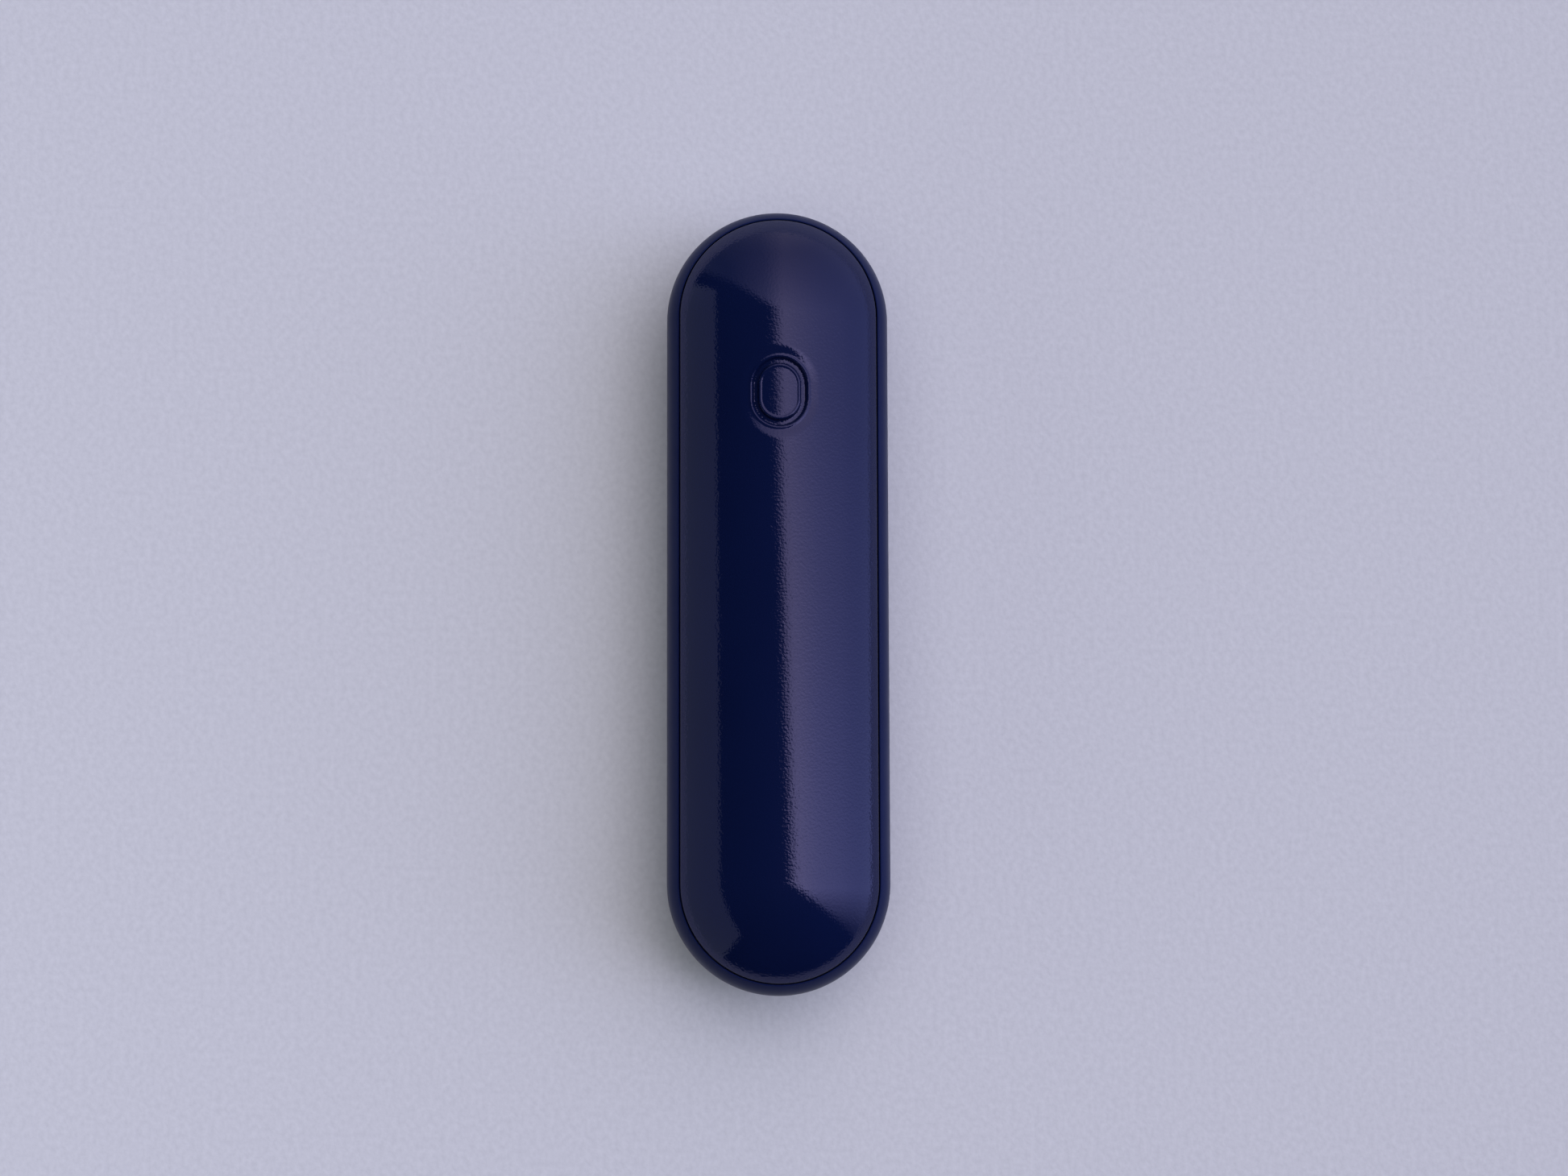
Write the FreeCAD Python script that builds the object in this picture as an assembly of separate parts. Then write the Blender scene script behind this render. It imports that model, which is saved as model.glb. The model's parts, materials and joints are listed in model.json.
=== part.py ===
import FreeCAD, Part
import math
import os

# A slim pocket case for two stem-type wireless earbuds, lid shut.
# Millimetres. Origin at the middle of the underside, +X along the case, +Z up.
# The hinge runs along the back (+Y), and the front is -Y.

# Overall sizes.
case_length = 92.0
case_width = 26.0
case_height = 20.0

# Outer section of the case.
shoulder_radius = 6.1
seam_inset = 1.5
seam_gap = 0.15
bottom_inset = 7.7
bottom_round = 4.0
base_wall = 1.5

# Lid.
lid_wall = 1.1
lid_edge_round = 0.2
lid_land = 0.4
liner_wall = 0.7
liner_gap = 0.1
liner_rise = 0.1
dome_top_gap = 0.8
dome_foot = 7.2

# Inner tray.
deck_gap = 0.1
flange_wall = 0.9
flange_gap = 0.1
skirt_gap = 0.15
skirt_wall = 0.9
skirt_depth = 1.6
pocket_wall = 0.8
bottom_corner = 1.5
bud_gap = 0.3
scoop_half_length = 5.6
scoop_half_width = 6.2
scoop_corner = 2.0

# Hinge.
hinge_set_in = 2.06
hinge_depth = 1.4
pin_radius = 0.4
pin_press_gap = 0.02
pin_running_gap = 0.05
knuckle_radius = 0.85
knuckle_gap = 0.12
knuckle_half_span = 20.0
knuckle_count = 5
hinge_opening = 95.0
gutter_gap = 0.15
gutter_wall = 0.7
gutter_spare = 9.0
gutter_lip_angle = 60.0
bracket_wall = 0.5
bracket_depth = 2.35
bracket_web = 0.8
bracket_set_back = 0.23
liner_notch_gap = 0.4
bracket_gap = 0.1

# Screws.
screw_radius = 0.5
screw_head_radius = 1.0
screw_head_height = 0.4
screw_thread_gap = 0.05
screw_clear_gap = 0.2
boss_wall = 0.75
hinge_screw_length = 2.2
hinge_screw_x = 14.0
board_screw_length = 3.0
board_screw_y = 5.0

# Earbuds.
head_radius = 7.0
head_half_height = 5.5
head_drop = 3.1
bud_wall = 0.9
stem_radius = 2.75
stem_end_x = 6.2
stem_drop = 0.9
split_above_head = 1.4
nozzle_radius = 2.55
nozzle_bore = 1.9
nozzle_length = 2.1
tip_radius = 5.4
tip_height = 4.0
tip_wall = 0.6
tip_sleeve_height = 2.8
tip_gap = 0.05
tip_below_nozzle = 0.6
mesh_wall = 0.2
driver_radius = 4.4
driver_height = 2.0
driver_drop = 3.0
driver_magnet_radius = 2.6
driver_magnet_height = 0.3
bud_cell_radius = 4.6
bud_cell_height = 3.3
bud_cell_drop = 0.6
bud_board_wall = 0.4
bud_board_half_width = 1.5
bud_board_end_gap = 3.0
bud_magnet_length = 6.0
bud_magnet_width = 1.5
bud_magnet_height = 0.8
bud_magnet_x = 16.0
contact_radius = 0.8
contact_height = 0.6
mic_radius = 0.6
fit_gap = 0.05

# Charging contacts in the tray.
contact_first_x = 9.6
contact_pitch = 2.6
plunger_radius = 0.45
plunger_gap = 0.05
plunger_collar = 0.6
plunger_collar_height = 0.5
plunger_travel = 0.4
plunger_tail = 0.15
plunger_touch_gap = 0.08
barrel_radius = 0.9
barrel_top_drop = 0.1
barrel_roof = 0.3
block_half_width = 1.8
block_end = 0.6

# Cell, board and socket.
cell_length = 40.0
cell_width = 10.4
cell_round = 0.98
cell_behind_gap = 0.26
tape_wall = 0.4
tape_length = 26.0
tape_width = 7.0
board_above_cell = 0.7
board_below_tray = 1.225
board_wall = 0.8
board_length = 46.4
board_width = 18.6
board_corner = 1.5
socket_width = 8.94
socket_height = 3.26
socket_depth = 7.3
socket_wall = 0.3
socket_gap = 0.15
socket_recess = 0.7
tongue_width = 6.69
tongue_height = 0.7
tongue_depth = 5.0
chip_height = 0.9
chip_x = 11.6
chip_y = 6.2
charger_chip = 4.0
radio_chip = 5.0
guard_chip = 3.0
lead_width = 4.0
lead_wall = 0.5

# Pairing button, lamp and lid sensor.
button_x = 14.0
button_radius = 1.65
button_gap = 0.08
button_flange = 0.5
button_flange_wall = 0.5
button_travel = 0.3
button_recess = 0.15
button_rod_radius = 0.6
button_rod_length = 0.55
button_above_board = 0.8
switch_width = 3.0
switch_depth = 2.4
switch_height = 1.6
switch_touch_gap = 0.05
switch_nub_length = 0.2
lamp_radius = 0.6
lamp_above_board = 0.7
lamp_recess = 0.1
lamp_chip = 1.0
lamp_chip_height = 1.3
sensor_x = 7.0
sensor_width = 1.6
sensor_height = 0.7

# Magnets.
closure_x = 15.0
closure_length = 10.0
closure_width = 1.25
closure_height = 0.75
closure_base_height = 1.4
tray_magnet_radius = 2.0
tray_magnet_height = 1.1

# Values worked out from the sizes above.
end_radius = case_width / 2
straight_half = case_length / 2 - end_radius
seam_radius = end_radius - seam_inset
lid_radius = seam_radius - seam_gap / 2
pocket_radius = seam_radius + seam_gap / 2
seam_angle = math.acos((shoulder_radius - seam_inset) / shoulder_radius)
crown_radius = seam_radius / math.cos(seam_angle)
crown_centre = case_height - crown_radius
seam_z = crown_centre + crown_radius * math.sin(seam_angle)
equator_z = seam_z - shoulder_radius * math.sin(seam_angle)
shoulder_centre = end_radius - shoulder_radius

bottom_flat = end_radius - bottom_inset
side_rise = equator_z - bottom_round
side_radius = (bottom_inset ** 2 + side_rise ** 2 - bottom_round ** 2) / (2 * (bottom_inset - bottom_round))
side_centre = end_radius - side_radius
side_foot = math.degrees(math.atan2(bottom_round - equator_z, bottom_flat - side_centre))

edge_round_z = crown_centre + math.sqrt(
    (crown_radius - lid_edge_round) ** 2 - (lid_radius - lid_edge_round) ** 2
)
lid_edge_z = edge_round_z - lid_land
deck_z = lid_edge_z - deck_gap
ledge_z = deck_z - flange_wall
opening_radius = shoulder_centre + math.sqrt(
    (shoulder_radius - base_wall) ** 2 - (ledge_z - equator_z) ** 2
)

hinge_y = lid_radius - hinge_set_in
hinge_z = crown_centre + math.sqrt((crown_radius - hinge_depth) ** 2 - hinge_y ** 2)
lid_sweep = math.hypot(hinge_set_in, hinge_z - lid_edge_z)
gutter_radius = lid_sweep + gutter_gap
lid_inner_foot = math.sqrt((crown_radius - lid_wall) ** 2 - (lid_edge_z - crown_centre) ** 2)
lid_foot_angle = math.degrees(math.atan2(hinge_z - lid_edge_z, lid_inner_foot - hinge_y))
gutter_angle = hinge_opening + lid_foot_angle + gutter_spare
gutter_half = straight_half + math.sqrt(lid_radius ** 2 - hinge_y ** 2) + gutter_gap
bracket_back = hinge_y - knuckle_radius - bracket_set_back

head_x = straight_half
head_z = deck_z - head_drop
stem_z = deck_z - stem_drop
split_z = head_z + split_above_head
head_foot = head_z - head_half_height
nozzle_end = head_foot - nozzle_length
tip_foot = nozzle_end - tip_below_nozzle
trough_radius = stem_radius + bud_gap
trough_floor = stem_z - trough_radius
trough_under = trough_floor - pocket_wall
contact_face = stem_z - stem_radius + plunger_touch_gap / 2
contact_places = [contact_first_x, contact_first_x + contact_pitch]

cell_z = base_wall + tape_wall
board_top = trough_under - board_below_tray
board_z = board_top - board_wall
cell_height = board_z - board_above_cell - cell_z
board_screw_x = board_length / 2 - screw_head_radius - screw_clear_gap
socket_z = board_z - socket_height / 2
socket_side = math.sqrt(side_radius ** 2 - (socket_z - equator_z) ** 2)
socket_mouth = side_centre + socket_side - socket_recess
cell_centre_y = socket_mouth - socket_depth - cell_behind_gap - cell_width / 2
button_z = board_top + button_above_board
lamp_z = board_top + lamp_above_board
shelf_z = lid_edge_z + liner_rise
shelf_top = shelf_z + liner_wall


def point(x, y, z):
    return FreeCAD.Vector(x, y, z)


def on_circle(centre, radius, degrees):
    angle = math.radians(degrees)
    return (centre[0] + radius * math.cos(angle), centre[1] + radius * math.sin(angle))


def arc(centre, radius, start, end):
    """One round stretch of a section: a point to pass through and the point it ends at."""
    return (on_circle(centre, radius, (start + end) / 2), on_circle(centre, radius, end))


def section(start, stretches, x):
    """Closed face in the plane at x. Its points are (distance from the spine, height)."""
    here = start
    edges = []
    for stretch in stretches + [(start,)]:
        corners = [point(x, here[0], here[1])] + [point(x, p[0], p[1]) for p in stretch]
        here = stretch[-1]
        if (corners[0] - corners[-1]).Length < 1e-7:
            continue
        if len(corners) == 3:
            edges.append(Part.Arc(*corners).toShape())
        else:
            edges.append(Part.LineSegment(*corners).toShape())
    return Part.Face(Part.Wire(edges))


def around_stadium(start, stretches):
    """Carries a half section along the straight sides and round both ends."""
    near = section(start, stretches, -straight_half)
    far = section(start, stretches, straight_half)
    other = near.mirror(point(0, 0, 0), point(0, 1, 0))
    run = point(2 * straight_half, 0, 0)
    pieces = [near.extrude(run), other.extrude(run)]
    pieces.append(far.revolve(point(straight_half, 0, 0), point(0, 0, -1), 180))
    pieces.append(near.revolve(point(-straight_half, 0, 0), point(0, 0, 1), 180))
    return joined(pieces)


def joined(pieces):
    whole = pieces[0].fuse(pieces[1:]) if len(pieces) > 1 else pieces[0]
    return whole.removeSplitter()


def box(low, high):
    size = [high[i] - low[i] for i in range(3)]
    return Part.makeBox(size[0], size[1], size[2], point(*low))


def upright(radius, x, y, low, high):
    return Part.makeCylinder(radius, high - low, point(x, y, low))


def along_y(radius, x, z, low, high):
    return Part.makeCylinder(radius, high - low, point(x, low, z), point(0, 1, 0))


def along_x(radius, y, z, low, high):
    return Part.makeCylinder(radius, high - low, point(low, y, z), point(1, 0, 0))


def stadium(radius, low, high, half_run=None):
    """Upright prism with straight sides and round ends."""
    run = straight_half if half_run is None else half_run
    ends = [upright(radius, side * run, 0, low, high) for side in (-1, 1)]
    middle = box((-run, -radius, low), (run, radius, high))
    return joined([middle] + ends)


def rounded_plate(half_x, half_y, corner, low, high):
    plate = box((-half_x, -half_y, low), (half_x, half_y, high))
    upright_edges = [e for e in plate.Edges if abs(e.tangentAt(e.FirstParameter).z) > 0.9]
    return plate.makeFillet(corner, upright_edges)


def spun(start, stretches, x):
    """Turns a half section once about the upright line at x on the spine."""
    face = section(start, stretches, x)
    return face.revolve(point(x, 0, 0), point(0, 0, 1), 360)


def flipped(shape):
    return shape.mirror(point(0, 0, 0), point(1, 0, 0))


# Casing sections.

def base_arcs(inset, top_angle):
    """Bottom round, side and shoulder of the base, all set in by one distance."""
    return [
        arc((bottom_flat, bottom_round), bottom_round - inset, -90, side_foot),
        arc((side_centre, equator_z), side_radius - inset, side_foot, 0),
        arc((shoulder_centre, equator_z), shoulder_radius - inset, 0, top_angle),
    ]


def base_body():
    rim_angle = math.degrees(math.acos((pocket_radius - shoulder_centre) / shoulder_radius))
    outline = [((bottom_flat, 0),)] + base_arcs(0, rim_angle)
    outline += [((pocket_radius, ledge_z),), ((0, ledge_z),)]
    return around_stadium((0, 0), outline)


def base_hollow():
    rise = (ledge_z - equator_z) / (shoulder_radius - base_wall)
    outline = [((bottom_flat, base_wall),)]
    outline += base_arcs(base_wall, math.degrees(math.asin(rise)))
    outline += [((0, ledge_z),)]
    return around_stadium((0, base_wall), outline)


def side_y(z, inset):
    """Distance of the side wall from the spine at a height below the shoulder."""
    return side_centre + math.sqrt((side_radius - inset) ** 2 - (z - equator_z) ** 2)


# Hinge helpers.

def knuckle_spans(first):
    """Start and end of every second knuckle, counted from the first one asked for."""
    pitch = 2 * knuckle_half_span / knuckle_count
    spans = []
    for number in range(first, knuckle_count, 2):
        start = -knuckle_half_span + number * pitch
        spans.append((start + knuckle_gap / 2, start + pitch - knuckle_gap / 2))
    return spans


def gutter_sector(radius, half_length, start, end):
    """Part of a round bar about the hinge line, between two angles below the level."""
    sector = Part.makeCylinder(
        radius, 2 * half_length, point(0, 0, 0), point(0, 0, 1), end - start
    )
    # The bar's own axes become: length along +X, angles counted down from +Y.
    turn = FreeCAD.Matrix(0, 0, 1, -half_length, 1, 0, 0, hinge_y, 0, 1, 0, hinge_z, 0, 0, 0, 1)
    sector = sector.transformShape(turn)
    sector.rotate(point(0, hinge_y, hinge_z), point(1, 0, 0), -end)
    return sector


def gutter():
    """Room for the back edge of the lid as it swings down."""
    sweep = gutter_sector(gutter_radius, gutter_half, 0, gutter_angle)
    return sweep.common(stadium(pocket_radius, ledge_z - gutter_radius, lid_edge_z))


def bracket_outline(gap):
    low = deck_z - bracket_wall - gap
    front = bracket_back - bracket_depth
    half = knuckle_half_span + gap
    return box((-half, front - gap, low), (half, bracket_back + gap, deck_z))


# Base parts.

def board_boss_places():
    return [(x, y) for x in (-board_screw_x, board_screw_x) for y in (-board_screw_y, board_screw_y)]


def socket_block(gap, front, back):
    """Round-sided bar of the socket's outer size, along Y."""
    radius = socket_height / 2 + gap
    half = (socket_width - socket_height) / 2
    ends = [along_y(radius, side * half, socket_z, front, back) for side in (-1, 1)]
    middle = box((-half, front, socket_z - radius), (half, back, socket_z + radius))
    return joined([middle] + ends)


def make_base_shell():
    shell = base_body().cut(base_hollow())
    bosses = [
        upright(screw_radius + boss_wall, x, y, base_wall / 2, board_z)
        for x, y in board_boss_places()
    ]
    ribs = []
    for side in (-1, 1):
        near = side * (cell_length / 2 + fit_gap)
        far = near + side * pocket_wall
        ribs.append(
            box(
                (min(near, far), cell_centre_y - cell_width / 4, base_wall / 2),
                (max(near, far), cell_centre_y + cell_width / 4, cell_z + cell_height / 3),
            )
        )
    shell = joined([shell] + bosses + ribs)
    cuts = [gutter(), socket_block(socket_gap, 0, end_radius)]
    cuts.append(along_y(button_radius + button_gap, button_x, button_z, 0, end_radius))
    cuts.append(along_y(lamp_radius + fit_gap, 0, lamp_z, -end_radius, 0))
    for x, y in board_boss_places():
        hole_foot = board_z - board_screw_length
        cuts.append(upright(screw_radius + screw_thread_gap, x, y, hole_foot, board_z))
    return shell.cut(cuts)


def cup_form(gap, corner, top):
    """Head cup and ear tip well as one round body, open straight up to the top."""
    radius = head_radius + gap
    rise = head_half_height + gap
    shaft = tip_radius + gap
    floor = tip_foot - gap
    x = head_x
    bow = Part.Ellipse(point(x + radius, 0, head_z), point(x, 0, head_z + rise), point(x, 0, head_z))
    meet = -math.acos(shaft / radius)
    meet_z = head_z + rise * math.sin(meet)
    centre = (x + shaft - corner, floor + corner)
    turn = [on_circle(centre, corner, angle) for angle in (-90, -45, 0)]
    edges = [
        Part.LineSegment(point(x, 0, floor), point(centre[0], 0, floor)).toShape(),
        Part.Arc(*[point(p[0], 0, p[1]) for p in turn]).toShape(),
        Part.LineSegment(point(x + shaft, 0, centre[1]), point(x + shaft, 0, meet_z)).toShape(),
        bow.toShape(meet, 0),
        Part.LineSegment(point(x + radius, 0, head_z), point(x + radius, 0, top)).toShape(),
        Part.LineSegment(point(x + radius, 0, top), point(x, 0, top)).toShape(),
        Part.LineSegment(point(x, 0, top), point(x, 0, floor)).toShape(),
    ]
    return Part.Face(Part.Wire(edges)).revolve(point(x, 0, 0), point(0, 0, 1), 360)


def head_cavity():
    """Room for one earbud head and its ear tip, open upwards."""
    return cup_form(bud_gap, bottom_corner - pocket_wall, deck_z)


def cup_outside():
    """Outside of the cup that holds one earbud head."""
    return cup_form(bud_gap + pocket_wall, bottom_corner, ledge_z)


def spheroid(radius, half_height, x, z):
    """Round body flattened along Z."""
    curve = Part.Ellipse(point(x + radius, 0, z), point(x, 0, z + half_height), point(x, 0, z))
    bow = curve.toShape(-math.pi / 2, math.pi / 2)
    spine = Part.LineSegment(point(x, 0, z - half_height), point(x, 0, z + half_height)).toShape()
    face = Part.Face(Part.Wire([bow, spine]))
    return face.revolve(point(x, 0, 0), point(0, 0, 1), 360)


def trough_cavity():
    """Channel that both stems lie in, from head to head."""
    bar = along_x(trough_radius, 0, stem_z, -head_x, head_x)
    mouth = box((-head_x, -trough_radius, stem_z), (head_x, trough_radius, deck_z))
    return joined([bar, mouth])


def scoop_cavity():
    return rounded_plate(scoop_half_length, scoop_half_width, scoop_corner, trough_floor, deck_z)


def hinge_screw_places():
    y = bracket_back - bracket_depth / 2
    return [(-hinge_screw_x, y), (hinge_screw_x, y)]


def make_inner_tray():
    flange = stadium(pocket_radius - flange_gap, ledge_z, deck_z)
    skirt_radius = opening_radius - skirt_gap
    skirt = stadium(skirt_radius, ledge_z - skirt_depth, ledge_z)
    skirt = skirt.cut(stadium(skirt_radius - skirt_wall, ledge_z - skirt_depth, ledge_z))
    half_trough = trough_radius + pocket_wall
    bed = box((-head_x, -half_trough, trough_under), (head_x, half_trough, ledge_z))
    scoop_x = scoop_half_length + pocket_wall
    scoop_y = scoop_half_width + pocket_wall
    scoop = rounded_plate(scoop_x, scoop_y, scoop_corner + pocket_wall, trough_under, ledge_z)
    lip = gutter_sector(
        gutter_radius + gutter_wall, gutter_half, gutter_lip_angle, 180
    ).common(stadium(skirt_radius, trough_under, deck_z))
    pieces = [flange, skirt, bed, scoop, lip, cup_outside(), flipped(cup_outside())]
    for x, y in hinge_screw_places():
        low = deck_z - screw_head_height - hinge_screw_length
        pieces.append(upright(screw_radius + boss_wall, x, y, low, ledge_z))
    tray = joined(pieces)
    cuts = [head_cavity(), flipped(head_cavity()), trough_cavity(), scoop_cavity(), gutter()]
    cuts.append(bracket_outline(bracket_gap))
    cuts.append(box((-gutter_half, hinge_y, ledge_z), (gutter_half, end_radius, deck_z)))
    span = knuckle_half_span + knuckle_gap
    cuts.append(along_x(knuckle_radius + knuckle_gap, hinge_y, hinge_z, -span, span))
    for x, y in hinge_screw_places():
        low = deck_z - screw_head_height - hinge_screw_length
        cuts.append(upright(screw_radius + screw_thread_gap, x, y, low, deck_z))
    for side in (-1, 1):
        for place in contact_places:
            cuts.append(upright(barrel_radius + fit_gap, side * place, 0, 0, stem_z))
    return tray.cut(cuts)


def make_hinge_bracket():
    front = bracket_back - bracket_depth
    low = deck_z - bracket_wall
    span = knuckle_half_span
    plate = box((-span, front, low), (span, bracket_back, deck_z))
    pieces = [plate]
    top = on_circle((hinge_y, hinge_z), knuckle_radius, 135)
    corners = [(bracket_back - bracket_web, deck_z), (bracket_back, deck_z), (hinge_y, hinge_z), top]
    for start, end in knuckle_spans(0):
        web = section(corners[0], [(c,) for c in corners[1:]], start)
        pieces.append(web.extrude(point(end - start, 0, 0)))
        pieces.append(along_x(knuckle_radius, hinge_y, hinge_z, start, end))
    bracket = joined(pieces)
    bore = along_x(pin_radius + pin_press_gap, hinge_y, hinge_z, -span, span)
    cuts = [bore]
    for x, y in hinge_screw_places():
        cuts.append(upright(screw_radius + screw_clear_gap, x, y, low, deck_z))
        cuts.append(upright(screw_head_radius + fit_gap, x, y, deck_z - screw_head_height, deck_z))
    return bracket.cut(cuts)


def make_hinge_pin():
    return along_x(pin_radius, hinge_y, hinge_z, -knuckle_half_span, knuckle_half_span)


def screw(x, y, top, length):
    head = upright(screw_head_radius, x, y, top - screw_head_height, top)
    shank = upright(screw_radius, x, y, top - screw_head_height - length, top)
    recess = upright(screw_radius / 2, x, y, top - screw_head_height / 2, top)
    return joined([head, shank]).cut(recess)


def make_hinge_screws():
    length = hinge_screw_length - fit_gap
    return Part.makeCompound([screw(x, y, deck_z, length) for x, y in hinge_screw_places()])


def make_board_screws():
    length = board_screw_length - fit_gap
    top = board_top + screw_head_height
    return Part.makeCompound([screw(x, y, top, length) for x, y in board_boss_places()])


# Power and electronics.

def make_battery_cell():
    cell = box(
        (-cell_length / 2, cell_centre_y - cell_width / 2, cell_z),
        (cell_length / 2, cell_centre_y + cell_width / 2, cell_z + cell_height),
    )
    long_edges = [e for e in cell.Edges if abs(e.tangentAt(e.FirstParameter).x) > 0.9]
    return cell.makeFillet(cell_round, long_edges)


def make_battery_tape():
    half = tape_width / 2
    return box(
        (-tape_length / 2, cell_centre_y - half, base_wall),
        (tape_length / 2, cell_centre_y + half, cell_z),
    )


def make_battery_lead():
    """Flat strap that leaves the top of the cell and ends on the board."""
    low = cell_z + cell_height
    near = -cell_length / 2 + lead_width
    start = cell_centre_y - lead_width / 2
    return box((near, start, low), (near + lead_wall, start + lead_width, board_z))


def make_main_board():
    board = rounded_plate(board_length / 2, board_width / 2, board_corner, board_z, board_top)
    holes = [
        upright(screw_radius + screw_clear_gap, x, y, board_z, board_top)
        for x, y in board_boss_places()
    ]
    return board.cut(holes)


def chip(x, y, length, width, height):
    low = (x - length / 2, y - width / 2, board_top)
    return box(low, (x + length / 2, y + width / 2, board_top + height))


def make_board_chips():
    chips = [
        chip(-chip_x, chip_y, charger_chip, charger_chip, chip_height),
        chip(0, chip_y, guard_chip, guard_chip, chip_height),
        chip(-chip_x, -chip_y, radio_chip, guard_chip, chip_height),
    ]
    return Part.makeCompound(chips)


def make_usb_socket():
    rear = socket_mouth - socket_depth
    outer = socket_block(0, rear, socket_mouth)
    inner = socket_block(-socket_wall, rear + 2 * socket_wall, socket_mouth)
    back = rear + socket_wall
    tongue = box(
        (-tongue_width / 2, back, socket_z - tongue_height / 2),
        (tongue_width / 2, back + tongue_depth, socket_z + tongue_height / 2),
    )
    return joined([outer.cut(inner), tongue])


def switch_face():
    """How far back the switch's own plunger reaches."""
    return button_rear() - button_rod_length - button_travel - switch_touch_gap


def button_rear():
    """Inner face of the button's flange."""
    low = button_z - button_radius - button_flange
    return side_y(low, base_wall) - fit_gap - button_flange_wall


def make_pairing_button():
    face = side_y(button_z, 0) - button_recess
    rear = button_rear()
    cap = along_y(button_radius, button_x, button_z, rear, face)
    flange_radius = button_radius + button_flange
    flange = along_y(flange_radius, button_x, button_z, rear, rear + button_flange_wall)
    rod = along_y(button_rod_radius, button_x, button_z, rear - button_rod_length, rear)
    return joined([cap, flange, rod])


def make_tact_switch():
    face = switch_face()
    front = face - switch_nub_length
    body = box(
        (button_x - switch_width / 2, front - switch_depth, board_top),
        (button_x + switch_width / 2, front, board_top + switch_height),
    )
    nub = along_y(button_rod_radius, button_x, button_z, face - switch_depth / 2, face)
    return joined([body, nub])


def make_light_pipe():
    outer = -side_y(lamp_z, 0) + lamp_recess
    return along_y(lamp_radius, 0, lamp_z, outer, -board_width / 2 + lamp_chip / 2)


def make_status_led():
    back = -board_width / 2 + lamp_chip / 2 + fit_gap
    return box(
        (-lamp_chip / 2, back, board_top), (lamp_chip / 2, back + lamp_chip, board_top + lamp_chip_height)
    )


def make_hall_sensor():
    return chip(sensor_x, -board_width / 2 + sensor_width, 2 * sensor_width, sensor_width, sensor_height)


# Charging contacts.

def barrel_top():
    return trough_floor - barrel_top_drop


def collar_top():
    return barrel_top() - barrel_roof - plunger_gap


def plunger_foot():
    return collar_top() - plunger_collar_height - plunger_tail


def make_contact_block():
    """Moulded block with two barrels, for the right-hand earbud."""
    low_x = contact_places[0] - barrel_radius - block_end
    high_x = contact_places[-1] + barrel_radius + block_end
    top = trough_under - fit_gap
    pieces = [box((low_x, -block_half_width, board_top), (high_x, block_half_width, top))]
    pieces += [upright(barrel_radius, x, 0, board_top, barrel_top()) for x in contact_places]
    block = joined(pieces)
    cuts = []
    for x in contact_places:
        roof = barrel_top() - barrel_roof
        floor = plunger_foot() - plunger_travel - fit_gap
        cuts.append(upright(plunger_collar + plunger_gap, x, 0, floor, roof))
        cuts.append(upright(plunger_radius + plunger_gap, x, 0, roof, barrel_top()))
    return block.cut(cuts)


def make_contact_pin(x):
    collar_foot = collar_top() - plunger_collar_height
    collar = upright(plunger_collar, x, 0, collar_foot, collar_top())
    tip = contact_face - plunger_touch_gap
    rod = upright(plunger_radius, x, 0, plunger_foot(), tip - plunger_radius / 2)
    nose = upright(plunger_radius / 2, x, 0, tip - plunger_radius, tip)
    return joined([collar, rod, nose])


# Magnets.

def bars(x, y, z, height):
    low_y = y - closure_width / 2
    made = []
    for side in (-1, 1):
        low = (side * x - closure_length / 2, low_y, z)
        made.append(box(low, (low[0] + closure_length, low_y + closure_width, z + height)))
    return Part.makeCompound(made)


def closure_y():
    return -(dome_foot + fit_gap + closure_width / 2)


def make_lid_magnets():
    return bars(closure_x, closure_y(), shelf_top, closure_height)


def make_closure_magnets():
    return bars(closure_x, closure_y(), ledge_z - closure_base_height, closure_base_height)


def make_tray_magnets():
    top = trough_under
    discs = [
        upright(tray_magnet_radius, side * bud_magnet_x, 0, top - tray_magnet_height, top)
        for side in (-1, 1)
    ]
    return Part.makeCompound(discs)


# Lid.

def make_lid_shell():
    crown = (0, crown_centre)
    round_angle = math.degrees(math.atan2(edge_round_z - crown_centre, lid_radius - lid_edge_round))
    inner_radius = crown_radius - lid_wall
    foot_angle = math.degrees(math.asin((lid_edge_z - crown_centre) / inner_radius))
    outline = [
        arc(crown, crown_radius, 90, round_angle),
        arc((lid_radius - lid_edge_round, edge_round_z), lid_edge_round, round_angle, 0),
        ((lid_radius, lid_edge_z),),
        (on_circle(crown, inner_radius, foot_angle),),
        arc(crown, inner_radius, foot_angle, 90),
    ]
    shell = around_stadium((0, case_height), outline)
    reliefs = [
        along_x(knuckle_radius + knuckle_gap, hinge_y, hinge_z, start - knuckle_gap, end + knuckle_gap)
        for start, end in knuckle_spans(0)
    ]
    knuckles = [
        along_x(knuckle_radius, hinge_y, hinge_z, start, end) for start, end in knuckle_spans(1)
    ]
    shell = joined([shell.cut(reliefs)] + knuckles)
    span = knuckle_half_span + knuckle_gap
    return shell.cut(along_x(pin_radius + pin_running_gap, hinge_y, hinge_z, -span, span))


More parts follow.
